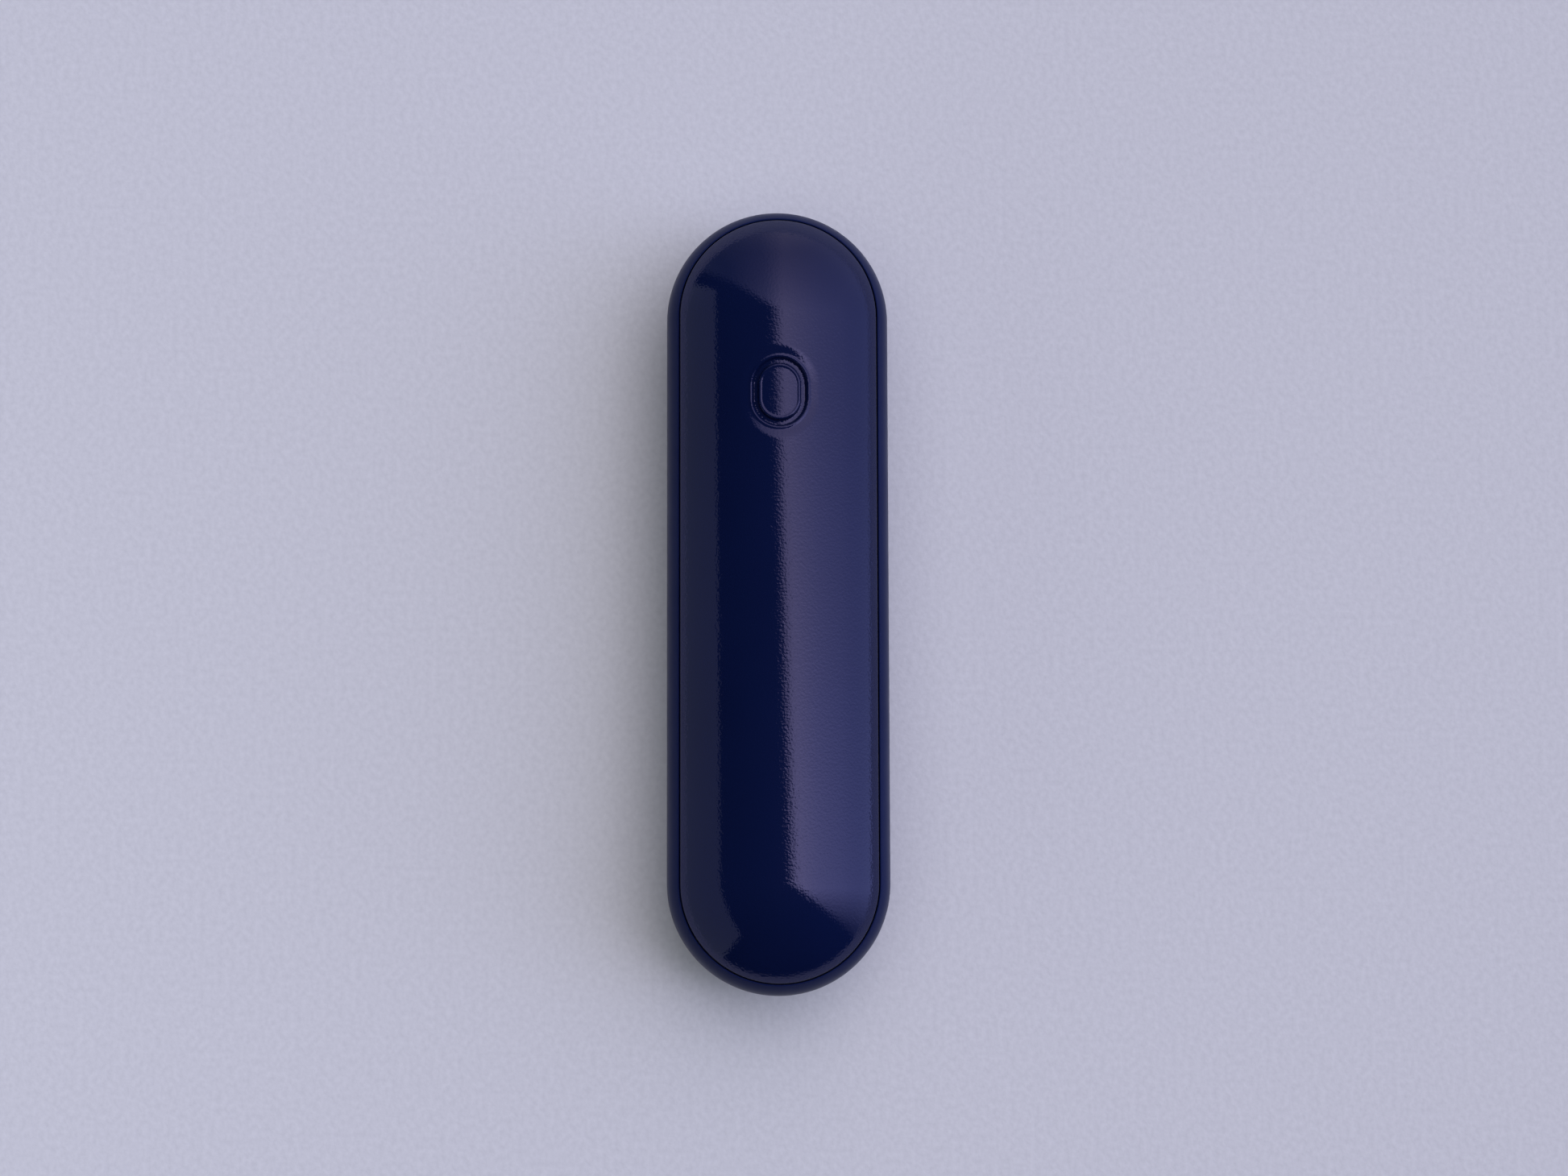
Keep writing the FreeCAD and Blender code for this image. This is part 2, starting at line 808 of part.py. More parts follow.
def make_lid_liner():
    crown = (0, crown_centre)
    outer_radius = crown_radius - lid_wall - liner_gap
    low_angle = math.degrees(math.asin((shelf_z - crown_centre) / outer_radius))
    high_angle = math.degrees(math.asin((shelf_top - crown_centre) / outer_radius))
    apex = case_height - lid_wall - dome_top_gap
    rise = apex - shelf_top
    dome_radius = (dome_foot ** 2 + rise ** 2) / (2 * rise)
    dome = (0, apex - dome_radius)
    top_angle = math.degrees(math.acos(dome_foot / dome_radius))
    inner_radius = dome_radius - liner_wall
    inner_angle = math.degrees(math.asin((shelf_z - dome[1]) / inner_radius))
    start = on_circle(crown, outer_radius, low_angle)
    outline = [
        arc(crown, outer_radius, low_angle, high_angle),
        (on_circle(dome, dome_radius, top_angle),),
        arc(dome, dome_radius, top_angle, 90),
        (on_circle(dome, inner_radius, 90),),
        arc(dome, inner_radius, 90, inner_angle),
    ]
    liner = around_stadium(start, outline)
    span = knuckle_half_span + liner_notch_gap
    front = bracket_back - bracket_web - bud_gap
    return liner.cut(box((-span, front, shelf_z), (span, end_radius, case_height)))


# Earbuds. Each is made for the right-hand side, with its stem towards the middle.

def bud_form(inset):
    """Head and stem as one body, set in by a wall."""
    head = spheroid(head_radius - inset, head_half_height - inset, head_x, head_z)
    radius = stem_radius - inset
    start = stem_end_x + stem_radius
    stem = along_x(radius, 0, stem_z, start, head_x)
    end = Part.makeSphere(radius, point(start, 0, stem_z))
    return joined([head, stem, end])


def bud_half(upper):
    reach = case_length
    if upper:
        half = box((0, -reach, split_z), (reach, reach, case_height + reach))
    else:
        half = box((0, -reach, -reach), (reach, reach, split_z))
    return bud_form(0).cut(bud_form(bud_wall)).common(half)


def make_bud_cap():
    return bud_half(True)


def make_bud_body():
    nozzle = upright(nozzle_radius, head_x, 0, nozzle_end, head_foot + bud_wall / 2)
    body = joined([bud_half(False), nozzle])
    cuts = [upright(nozzle_bore, head_x, 0, nozzle_end, head_z - driver_drop)]
    for x in contact_places:
        cuts.append(upright(contact_radius + fit_gap, x, 0, stem_z - 2 * stem_radius, stem_z - bud_wall))
    start = stem_end_x - stem_radius
    hole = along_x(mic_radius + fit_gap, 0, mic_height(), start, stem_end_x + stem_radius)
    return body.cut(cuts + [hole])


def mic_height():
    return split_z - mic_radius - 2 * fit_gap


def make_bud_mic_mesh():
    drop = stem_z - mic_height()
    depth = math.sqrt(stem_radius ** 2 - (drop + mic_radius) ** 2)
    face = stem_end_x + stem_radius - depth
    return along_x(mic_radius, 0, mic_height(), face, face + 2 * mesh_wall)


def make_bud_nozzle_mesh():
    return upright(nozzle_bore - fit_gap, head_x, 0, nozzle_end, nozzle_end + mesh_wall)


def make_bud_ear_tip():
    """Silicone tip: a domed skirt that turns in to a sleeve on the nozzle."""
    sleeve = nozzle_radius + tip_gap
    round_radius = tip_radius / 2
    inner_round = round_radius - tip_wall
    flat = tip_radius - round_radius
    centre = (flat, tip_foot + round_radius)
    rim = tip_foot + tip_height
    outline = [
        ((flat, tip_foot),),
        arc(centre, round_radius, -90, 0),
        ((tip_radius, rim),),
        ((tip_radius - tip_wall, rim),),
        ((tip_radius - tip_wall, centre[1]),),
        arc(centre, inner_round, 0, -90),
        ((sleeve + tip_wall, tip_foot + tip_wall),),
        ((sleeve + tip_wall, tip_foot + tip_sleeve_height),),
        ((sleeve, tip_foot + tip_sleeve_height),),
    ]
    return spun((sleeve, tip_foot), outline, head_x)


def make_bud_driver():
    low = head_z - driver_drop
    top = low + driver_height
    magnet = upright(driver_magnet_radius, head_x, 0, top, top + driver_magnet_height)
    return joined([upright(driver_radius, head_x, 0, low, top), magnet])


def make_bud_cell():
    low = head_z - bud_cell_drop
    return upright(bud_cell_radius, head_x, 0, low, low + bud_cell_height)


def make_bud_board():
    low = (stem_end_x + bud_board_end_gap, -bud_board_half_width, stem_z)
    high = (head_x - bud_cell_radius - bud_gap, bud_board_half_width, stem_z + bud_board_wall)
    return box(low, high)


def make_bud_magnet():
    inner = stem_radius - bud_wall
    low_z = stem_z - math.sqrt(inner ** 2 - (bud_magnet_width / 2) ** 2) + fit_gap
    low = (bud_magnet_x - bud_magnet_length / 2, -bud_magnet_width / 2, low_z)
    return box(low, (low[0] + bud_magnet_length, bud_magnet_width / 2, low_z + bud_magnet_height))


def make_bud_contacts():
    top = contact_face + contact_height
    return Part.makeCompound([upright(contact_radius, x, 0, contact_face, top) for x in contact_places])


parts = {
    "base_shell": make_base_shell(),
    "inner_tray": make_inner_tray(),
    "hinge_bracket": make_hinge_bracket(),
    "hinge_pin": make_hinge_pin(),
    "hinge_screws": make_hinge_screws(),
    "battery_cell": make_battery_cell(),
    "battery_tape": make_battery_tape(),
    "battery_lead": make_battery_lead(),
    "main_board": make_main_board(),
    "board_screws": make_board_screws(),
    "board_chips": make_board_chips(),
    "usb_socket": make_usb_socket(),
    "tact_switch": make_tact_switch(),
    "pairing_button": make_pairing_button(),
    "status_led": make_status_led(),
    "light_pipe": make_light_pipe(),
    "hall_sensor": make_hall_sensor(),
    "contact_block_right": make_contact_block(),
    "contact_block_left": flipped(make_contact_block()),
    "contact_pin_right_inner": make_contact_pin(contact_places[0]),
    "contact_pin_right_outer": make_contact_pin(contact_places[1]),
    "contact_pin_left_inner": make_contact_pin(-contact_places[0]),
    "contact_pin_left_outer": make_contact_pin(-contact_places[1]),
    "tray_magnets": make_tray_magnets(),
    "closure_magnets": make_closure_magnets(),
    "lid_shell": make_lid_shell(),
    "lid_liner": make_lid_liner(),
    "lid_magnets": make_lid_magnets(),
}

bud_parts = {
    "cap": make_bud_cap,
    "body": make_bud_body,
    "ear_tip": make_bud_ear_tip,
    "nozzle_mesh": make_bud_nozzle_mesh,
    "driver": make_bud_driver,
    "cell": make_bud_cell,
    "board": make_bud_board,
    "magnet": make_bud_magnet,
    "contacts": make_bud_contacts,
    "mic_mesh": make_bud_mic_mesh,
}

for name, make in bud_parts.items():
    shape = make()
    parts["bud_right_" + name] = shape
    parts["bud_left_" + name] = flipped(shape)

os.makedirs("parts", exist_ok=True)
for name, shape in parts.items():
    shape.exportStep("parts/" + name + ".step")
    print(name, len(shape.Solids), shape.isValid(), round(shape.Volume, 2))
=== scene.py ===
import json
import math
import bmesh
import bpy
from mathutils import Matrix, Vector


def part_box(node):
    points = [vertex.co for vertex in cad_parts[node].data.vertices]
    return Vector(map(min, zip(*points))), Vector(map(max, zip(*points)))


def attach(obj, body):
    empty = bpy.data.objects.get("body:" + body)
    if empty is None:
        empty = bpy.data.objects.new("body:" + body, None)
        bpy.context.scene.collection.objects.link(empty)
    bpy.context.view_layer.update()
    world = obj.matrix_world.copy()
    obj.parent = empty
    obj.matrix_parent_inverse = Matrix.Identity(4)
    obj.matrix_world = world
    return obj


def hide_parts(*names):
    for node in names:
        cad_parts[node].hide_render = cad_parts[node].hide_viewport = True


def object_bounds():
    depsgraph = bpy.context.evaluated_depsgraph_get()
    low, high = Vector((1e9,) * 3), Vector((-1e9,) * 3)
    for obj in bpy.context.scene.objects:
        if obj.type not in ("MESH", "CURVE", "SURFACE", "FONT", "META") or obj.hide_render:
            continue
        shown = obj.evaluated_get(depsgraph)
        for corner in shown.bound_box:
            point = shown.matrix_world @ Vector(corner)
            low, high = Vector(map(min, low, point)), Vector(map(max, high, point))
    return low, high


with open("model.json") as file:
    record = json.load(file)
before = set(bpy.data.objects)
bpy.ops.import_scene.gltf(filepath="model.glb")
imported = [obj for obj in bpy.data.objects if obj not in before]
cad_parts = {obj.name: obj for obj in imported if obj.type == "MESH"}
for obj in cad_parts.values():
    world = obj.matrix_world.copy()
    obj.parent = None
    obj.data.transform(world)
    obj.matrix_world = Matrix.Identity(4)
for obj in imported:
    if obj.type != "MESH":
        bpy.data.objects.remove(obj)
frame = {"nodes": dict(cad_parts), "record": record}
cad_low, cad_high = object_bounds()

MM = 0.001

# Sizes of the outer section, as the CAD model has them.
SHOULDER_RADIUS = 6.1 * MM
SEAM_INSET = 1.5 * MM
SEAM_GAP = 0.15 * MM
BOTTOM_FLAT = 5.3 * MM
BOTTOM_ROUND = 4.0 * MM
BASE_WALL = 1.5 * MM
LID_WALL = 1.1 * MM
LID_EDGE_ROUND = 0.2 * MM
LID_LAND = 0.4 * MM
RIM_EDGE_ROUND = 0.12 * MM
FLANGE_DROP = 1.0 * MM

# The rest of the section follows from these sizes and the CAD model's box.
case_length = cad_high[0] - cad_low[0]
case_width = cad_high[1] - cad_low[1]
case_height = cad_high[2] - cad_low[2]
end_radius = case_width / 2
straight_half = case_length / 2 - end_radius
seam_radius = end_radius - SEAM_INSET
lid_radius = seam_radius - SEAM_GAP / 2
pocket_radius = seam_radius + SEAM_GAP / 2
seam_angle = math.acos((SHOULDER_RADIUS - SEAM_INSET) / SHOULDER_RADIUS)
crown_radius = seam_radius / math.cos(seam_angle)
crown_centre = case_height - crown_radius
equator = crown_centre + (crown_radius - SHOULDER_RADIUS) * math.sin(seam_angle)
shoulder_centre = end_radius - SHOULDER_RADIUS
side_run = end_radius - BOTTOM_FLAT
side_rise = equator - BOTTOM_ROUND
side_radius = (side_run ** 2 + side_rise ** 2 - BOTTOM_ROUND ** 2) / (2 * (side_run - BOTTOM_ROUND))
side_centre = end_radius - side_radius
side_foot = math.degrees(math.atan2(-side_rise, BOTTOM_FLAT - side_centre))
edge_round_z = crown_centre + math.sqrt(
    (crown_radius - LID_EDGE_ROUND) ** 2 - (lid_radius - LID_EDGE_ROUND) ** 2
)
lid_edge = edge_round_z - LID_LAND
ledge = lid_edge - FLANGE_DROP

record = frame["record"]
hinge = next(j for j in record["behaviour"]["joints"] if j["name"] == "lid_hinge")
HINGE_Y, HINGE_Z = hinge["pos_m"][1], hinge["pos_m"][2]


# Section tools. A section is a closed loop of (distance from the spine, height) points.

# Spacing of the sections: fine near one place, and coarser with the distance from it.
FINE_REACH = 5.2 * MM
FINE_STEP = 0.09 * MM
COARSE_STEP = 1.1 * MM
STEP_GROWTH = 0.25
END_STEPS = 64

# Slacks in metres. STOP_SLACK also serves for degrees.
SAME_PLACE = 1e-8
STOP_SLACK = 1e-6
WELD_ROUND = 2e-6
WELD_LATHED = 1e-6
NO_LENGTH = 1e-7

CREASE_DEGREES = 32.0


def arc(centre, radius, start, end, steps):
    points = []
    for step in range(steps + 1):
        angle = math.radians(start + (end - start) * step / steps)
        points.append((centre[0] + radius * math.cos(angle), centre[1] + radius * math.sin(angle)))
    return points


def line(start, end, steps):
    return [
        (start[0] + (end[0] - start[0]) * s / steps, start[1] + (end[1] - start[1]) * s / steps)
        for s in range(steps + 1)
    ]


def without_doubles(points):
    kept = []
    for point in points:
        if not kept or math.dist(point, kept[-1]) > SAME_PLACE:
            kept.append(point)
    return kept


def stations(fine_at):
    """Places along one straight side, closer together round fine_at if it is given."""
    places = [-straight_half]
    while places[-1] < straight_half - STOP_SLACK:
        here = places[-1]
        step = COARSE_STEP
        if fine_at is not None:
            away = max(0.0, abs(here - fine_at) - FINE_REACH)
            step = min(COARSE_STEP, FINE_STEP + away * STEP_GROWTH)
        places.append(min(straight_half, here + step))
    return places


def end_frames(x, start):
    """Half a turn round one end of the spine, without its first and last directions."""
    turns = [start + math.pi * step / END_STEPS for step in range(1, END_STEPS)]
    return [((x, 0.0), (math.cos(angle), math.sin(angle))) for angle in turns]


def spine_frames(fine_at):
    """Once round the stadium: a point on the spine and the outward direction there."""
    along = stations(fine_at)
    frames = [((x, 0.0), (0.0, -1.0)) for x in along]
    frames += end_frames(straight_half, -math.pi / 2)
    frames += [((x, 0.0), (0.0, 1.0)) for x in reversed(along)]
    return frames + end_frames(-straight_half, math.pi / 2)


def new_object(name, mesh):
    piece = bpy.data.objects.new(name, mesh)
    bpy.context.scene.collection.objects.link(piece)
    return piece


def from_bmesh(name, bm, smooth=True):
    bmesh.ops.recalc_face_normals(bm, faces=bm.faces)
    mesh = bpy.data.meshes.new(name)
    bm.to_mesh(mesh)
    bm.free()
    for face in mesh.polygons:
        face.use_smooth = smooth
    return new_object(name, mesh)


def skin(name, bm, rings, weld):
    """Joins each ring of points to the next, and the last ring to the first."""
    for number, ring in enumerate(rings):
        other = rings[(number + 1) % len(rings)]
        for k in range(len(ring)):
            after = (k + 1) % len(ring)
            bm.faces.new((ring[k], other[k], other[after], ring[after]))
    bmesh.ops.remove_doubles(bm, verts=bm.verts, dist=weld)
    bmesh.ops.dissolve_degenerate(bm, edges=bm.edges, dist=NO_LENGTH)
    return from_bmesh(name, bm)


def round_stadium(name, loop, fine_at=None, shift=None):
    """Carries a section once round the stadium. shift moves single points."""
    bm = bmesh.new()
    rings = []
    for (sx, sy), (dx, dy) in spine_frames(fine_at):
        ring = []
        for rho, z in loop:
            place = Vector((sx + dx * rho, sy + dy * rho, z))
            if shift is not None:
                place = shift(place)
            ring.append(bm.verts.new(place))
        rings.append(ring)
    return skin(name, bm, rings, WELD_ROUND)


def sharpen(piece, degrees=CREASE_DEGREES):
    """Keeps creases crisp and the rest smooth."""
    bm = bmesh.new()
    bm.from_mesh(piece.data)
    limit = math.radians(degrees)
    for edge in bm.edges:
        if len(edge.link_faces) == 2 and edge.calc_face_angle(0.0) > limit:
            edge.smooth = False
    bm.to_mesh(piece.data)
    bm.free()


def bake(piece):
    """Turns what the modifiers make into the piece's own mesh."""
    graph = bpy.context.evaluated_depsgraph_get()
    mesh = bpy.data.meshes.new_from_object(piece.evaluated_get(graph))
    piece.modifiers.clear()
    piece.data = mesh


def absorb(bm, piece):
    """Adds a piece's mesh to bm and drops the piece."""
    bm.from_mesh(piece.data)
    bpy.data.objects.remove(piece, do_unlink=True)


def bevel_edges(piece, width):
    """Rounds the sharp edges of a small piece for good."""
    modifier = piece.modifiers.new("round", "BEVEL")
    modifier.width = width
    modifier.segments = 2
    modifier.limit_method = "ANGLE"
    modifier.harden_normals = True
    bake(piece)


def apply_boolean(piece, other, kind):
    """Adds or takes away another closed mesh for good."""
    modifier = piece.modifiers.new("cut", "BOOLEAN")
    modifier.operation = kind
    modifier.object = other
    modifier.solver = "EXACT"
    bake(piece)
    bpy.data.objects.remove(other, do_unlink=True)


def bar(name, radius, start, end, steps=48):
    """Closed round bar between two points."""
    start, end = Vector(start), Vector(end)
    bm = bmesh.new()
    bmesh.ops.create_cone(
        bm, cap_ends=True, segments=steps, radius1=radius, radius2=radius, depth=(end - start).length
    )
    turn = Vector((0, 0, 1)).rotation_difference(end - start).to_matrix().to_4x4()
    bmesh.ops.transform(bm, matrix=Matrix.Translation((start + end) / 2) @ turn, verts=bm.verts)
    return from_bmesh(name, bm, smooth=False)


def block(name, low, high):
    """Closed box between two corners."""
    low, high = Vector(low), Vector(high)
    bm = bmesh.new()
    bmesh.ops.create_cube(bm, size=1.0)
    scale = Matrix.Diagonal((*(high - low), 1.0))
    bmesh.ops.transform(bm, matrix=Matrix.Translation((low + high) / 2) @ scale, verts=bm.verts)
    return from_bmesh(name, bm, smooth=False)


def lathed(name, profile, place, steps=96):
    """Turns a closed section of (radius, height) points about the Z axis, then moves it."""
    bm = bmesh.new()
    rings = []
    for step in range(steps):
        angle = 2 * math.pi * step / steps
        c, s = math.cos(angle), math.sin(angle)
        rings.append([bm.verts.new(place @ Vector((rho * c, rho * s, z))) for rho, z in profile])
    return skin(name, bm, rings, WELD_LATHED)


def centre_of(node):
    """Middle of a CAD node's box."""
    low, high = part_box(node)
    return [(a + b) / 2 for a, b in zip(low, high)]


# Materials. Noise scales are in waves per metre, roughly.

NAVY = (0.0032, 0.0070, 0.038)
SATIN_NAVY = (0.0062, 0.0120, 0.0560)
BLACK = (0.0065, 0.0080, 0.0150)
VIOLET_SHEEN = (0.55, 0.53, 0.88)

DRIFT_SCALE = 90.0
DRIFT_LOW, DRIFT_HIGH = 0.35, 0.65
POLISH_SCALE = 260.0
POLISH_VARY = 0.18

GLOSS_DRIFT_SCALE = 60.0
GLOSS_DRIFT_LOW, GLOSS_DRIFT_HIGH = 0.3, 0.7
GLOSS_VARY = 0.06
GLOSS_POLISH_SCALE = 900.0
GLOSS_ROUGHNESS_LOW, GLOSS_ROUGHNESS_HIGH = 0.035, 0.065
PEEL_SCALE = 3400.0
PEEL_HEIGHT = 0.013 * MM


def new_material(name, **values):
    """New Principled material. A value's name is its socket's, with _ for each space."""
    material = bpy.data.materials.new(name)
    material.use_nodes = True
    shader = material.node_tree.nodes["Principled BSDF"]
    for socket, value in values.items():
        shader.inputs[socket.replace("_", " ")].default_value = value
    return material, material.node_tree, shader


def noise(tree, scale, detail=2.0):
    coordinates = tree.nodes.new("ShaderNodeTexCoord")
    texture = tree.nodes.new("ShaderNodeTexNoise")
    texture.inputs["Scale"].default_value = scale
    texture.inputs["Detail"].default_value = detail
    tree.links.new(coordinates.outputs["Object"], texture.inputs["Vector"])
    return texture.outputs["Fac"]


def ramp(tree, factor, stops):
    """Colour for a factor, from (place, colour) stops in rising order."""
    node = tree.nodes.new("ShaderNodeValToRGB")
    node.color_ramp.elements[0].position = stops[0][0]
    node.color_ramp.elements[0].color = (*stops[0][1], 1.0)
    node.color_ramp.elements[1].position = stops[-1][0]
    node.color_ramp.elements[1].color = (*stops[-1][1], 1.0)
    for place, colour in stops[1:-1]:
        element = node.color_ramp.elements.new(place)
        element.color = (*colour, 1.0)
    tree.links.new(factor, node.inputs["Fac"])
    return node.outputs["Color"]


def spread(tree, factor, low, high):
    """Puts 0 to 1 on the stretch from low to high, and goes on past both ends."""
    node = tree.nodes.new("ShaderNodeMapRange")
    node.clamp = False
    node.inputs["To Min"].default_value = low
    node.inputs["To Max"].default_value = high
    tree.links.new(factor, node.inputs["Value"])
    return node.outputs["Result"]


def bump(tree, height, distance):
    node = tree.nodes.new("ShaderNodeBump")
    node.inputs["Distance"].default_value = distance
    tree.links.new(height, node.inputs["Height"])
    return node.outputs["Normal"]


def tinted(colour, factor):
    return tuple(channel * factor for channel in colour)


def moulded(name, colour, roughness, grain, depth, vary, metallic=0.0, sheen=(1, 1, 1), level=0.5):
    """Moulded plastic, rubber or metal: slight colour drift, uneven polish and a fine grain."""
    material, tree, shader = new_material(
        name, Metallic=metallic, Specular_Tint=(*sheen, 1.0), Specular_IOR_Level=level
    )
    drift = noise(tree, DRIFT_SCALE, 3.0)
    stops = [(DRIFT_LOW, tinted(colour, 1.0 - vary)), (DRIFT_HIGH, tinted(colour, 1.0 + vary))]
    tree.links.new(ramp(tree, drift, stops), shader.inputs["Base Color"])
    smoothest, roughest = roughness * (1.0 - POLISH_VARY), roughness * (1.0 + POLISH_VARY)
    polish = spread(tree, noise(tree, POLISH_SCALE, 4.0), smoothest, roughest)
    tree.links.new(polish, shader.inputs["Roughness"])
    tree.links.new(bump(tree, noise(tree, grain), depth), shader.inputs["Normal"])
    return material


def lid_gloss():
    """Polished dark navy with a faint orange peel."""
    material, tree, shader = new_material("lid_gloss", IOR=1.5, Specular_Tint=(*VIOLET_SHEEN, 1.0))
    drift = noise(tree, GLOSS_DRIFT_SCALE)
    dark, light = tinted(NAVY, 1.0 - GLOSS_VARY), tinted(NAVY, 1.0 + GLOSS_VARY)
    stops = [(GLOSS_DRIFT_LOW, dark), (GLOSS_DRIFT_HIGH, light)]
    tree.links.new(ramp(tree, drift, stops), shader.inputs["Base Color"])
    polish = noise(tree, GLOSS_POLISH_SCALE, 3.0)
    roughness = spread(tree, polish, GLOSS_ROUGHNESS_LOW, GLOSS_ROUGHNESS_HIGH)
    tree.links.new(roughness, shader.inputs["Roughness"])
    peel = bump(tree, noise(tree, PEEL_SCALE, 1.0), PEEL_HEIGHT)
    tree.links.new(peel, shader.inputs["Normal"])
    return material


SHINY_METAL = dict(metallic=1.0, vary=0.06)

# For each slot: colour, roughness, scale of the grain, height of the grain, and named values.
MOULDED = {
    "base_satin": (SATIN_NAVY, 0.34, 9000.0, 0.002 * MM, dict(vary=0.05, sheen=VIOLET_SHEEN, level=0.06)),
    "tray_black": (BLACK, 0.38, 7000.0, 0.004 * MM, dict(vary=0.1)),
    "liner_black": (BLACK, 0.30, 7000.0, 0.003 * MM, dict(vary=0.1)),
    "bud_gloss": (NAVY, 0.08, 2200.0, 0.0012 * MM, dict(vary=0.06, sheen=VIOLET_SHEEN)),
    "bud_satin": (SATIN_NAVY, 0.34, 8000.0, 0.003 * MM, dict(vary=0.06, sheen=VIOLET_SHEEN)),
    "silicone": ((0.016, 0.020, 0.032), 0.55, 5000.0, 0.006 * MM, dict(vary=0.1)),
    "steel": ((0.36, 0.36, 0.38), 0.34, 6000.0, 0.002 * MM, SHINY_METAL),
    "gold": ((0.90, 0.66, 0.26), 0.20, 5000.0, 0.001 * MM, dict(metallic=1.0, vary=0.05)),
    "magnet": ((0.58, 0.58, 0.60), 0.22, 3000.0, 0.003 * MM, SHINY_METAL),
    "cell": ((0.68, 0.69, 0.71), 0.36, 1500.0, 0.02 * MM, dict(metallic=0.9, vary=0.06)),
    "board": ((0.010, 0.070, 0.030), 0.35, 2500.0, 0.006 * MM, dict(vary=0.2)),
    "chip": ((0.012, 0.012, 0.013), 0.55, 6000.0, 0.006 * MM, dict(vary=0.15)),
    "tape": ((0.03, 0.03, 0.03), 0.85, 2500.0, 0.03 * MM, dict(vary=0.2)),
    "clear": ((0.55, 0.58, 0.64), 0.15, 3000.0, 0.001 * MM, dict(vary=0.04)),
    "black_plastic": ((0.010, 0.010, 0.012), 0.45, 6000.0, 0.005 * MM, dict(vary=0.12)),
}
MATERIALS = {"lid_gloss": lid_gloss()}
for slot_name, (*look, named) in MOULDED.items():
    MATERIALS[slot_name] = moulded(slot_name, *look, **named)


def finish(piece, slot_name, body, *nodes):
    """Gives a piece its material, its body and the CAD nodes that it stands in for."""
    piece.data.materials.clear()
    piece.data.materials.append(MATERIALS[slot_name])
    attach(piece, body)
    if nodes:
        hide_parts(*nodes)


# Lid. The groove and the ridge of the mark are given as shares of GROOVE_HALF.

MARK_X = 23.4 * MM
MARK_HALF_LENGTH = 4.0 * MM
MARK_HALF_WIDTH = 3.2 * MM
GROOVE_HALF = 0.38 * MM
GROOVE_DEPTH = 0.50 * MM
GROOVE_FLAT = 0.55
GROOVE_SLOPE = 0.60
RIDGE_PLACE = 1.5
RIDGE_HALF = 0.45
RIDGE_RISE = 0.05 * MM
DISH_DEPTH = 0.12 * MM
DISH_FADE = 1.5 * MM

# Degrees between the rows of points down the crown.
FINE_TURN = 0.34
COARSE_TURN = 1.4


def smooth_step(value):
    value = min(1.0, max(0.0, value))
    return value * value * (3 - 2 * value)


def mark_depth(x, y):
    """Depth of the pill-shaped ring and of the shallow dish, less the ridges beside the ring."""
    run = MARK_HALF_LENGTH - MARK_HALF_WIDTH
    across = math.hypot(max(0.0, abs(x - MARK_X) - run), y)
    ring = abs(across - (MARK_HALF_WIDTH - GROOVE_HALF))
    share = ring / GROOVE_HALF
    groove = GROOVE_DEPTH * (1 - smooth_step((share - GROOVE_FLAT) / GROOVE_SLOPE))
    ridge = RIDGE_RISE * max(0.0, 1 - ((share - RIDGE_PLACE) / RIDGE_HALF) ** 2)
    dish = DISH_DEPTH * (1 - smooth_step((across - MARK_HALF_WIDTH) / DISH_FADE))
    return groove + dish - ridge


def press_mark(place):
    """Moves a point of the lid's outer face in by the mark's depth, and leaves the rest."""
    depth = mark_depth(place.x, place.y)
    if depth <= 0.0 or place.z < lid_edge + LID_WALL * 2:
        return place
    outward = Vector((0, place.y, place.z - crown_centre)).normalized()
    reach = math.hypot(place.y, place.z - crown_centre)
    if reach < crown_radius - LID_WALL / 2:
        return place
    return place - outward * depth


def crown_rows():
    """Angles down the crown, closer together where the mark lies."""
    round_angle = math.degrees(math.atan2(edge_round_z - crown_centre, lid_radius - LID_EDGE_ROUND))
    angles = [90.0]
    while angles[-1] > round_angle + STOP_SLACK:
        near = (90.0 - angles[-1]) < math.degrees((MARK_HALF_WIDTH + DISH_FADE) / crown_radius)
        angles.append(max(round_angle, angles[-1] - (FINE_TURN if near else COARSE_TURN)))
    return angles, round_angle


def lid_section():
    """Down the outside of the crown, round the lid's edge and back up the inside."""
    angles, round_angle = crown_rows()
    loop = [
        (crown_radius * math.cos(math.radians(a)), crown_centre + crown_radius * math.sin(math.radians(a)))
        for a in angles
    ]
    inner = crown_radius - LID_WALL
    foot = math.degrees(math.asin((lid_edge - crown_centre) / inner))
    foot_point = (inner * math.cos(math.radians(foot)), lid_edge)
    loop += arc((lid_radius - LID_EDGE_ROUND, edge_round_z), LID_EDGE_ROUND, round_angle, 0, 8)
    loop += line((lid_radius, edge_round_z), (lid_radius, lid_edge), 3)
    loop += line((lid_radius, lid_edge), foot_point, 3)
    loop += arc((0, crown_centre), inner, foot, 90, 28)
    return without_doubles(loop)


KNUCKLE_RADIUS = 0.85 * MM
KNUCKLE_GAP = 0.12 * MM
KNUCKLE_SPAN = 20.0 * MM
KNUCKLE_COUNT = 5
PIN_BORE = 0.45 * MM


def knuckle_spans(first):
    """Start and end of every second knuckle. Those from 0 are the base's, and from 1 the lid's."""
    pitch = 2 * KNUCKLE_SPAN / KNUCKLE_COUNT
    return [
        (-KNUCKLE_SPAN + n * pitch + KNUCKLE_GAP / 2, -KNUCKLE_SPAN + (n + 1) * pitch - KNUCKLE_GAP / 2)
        for n in range(first, KNUCKLE_COUNT, 2)
    ]


def hinge_bar(name, radius, start, end):
    return bar(name, radius, (start, HINGE_Y, HINGE_Z), (end, HINGE_Y, HINGE_Z), 64)


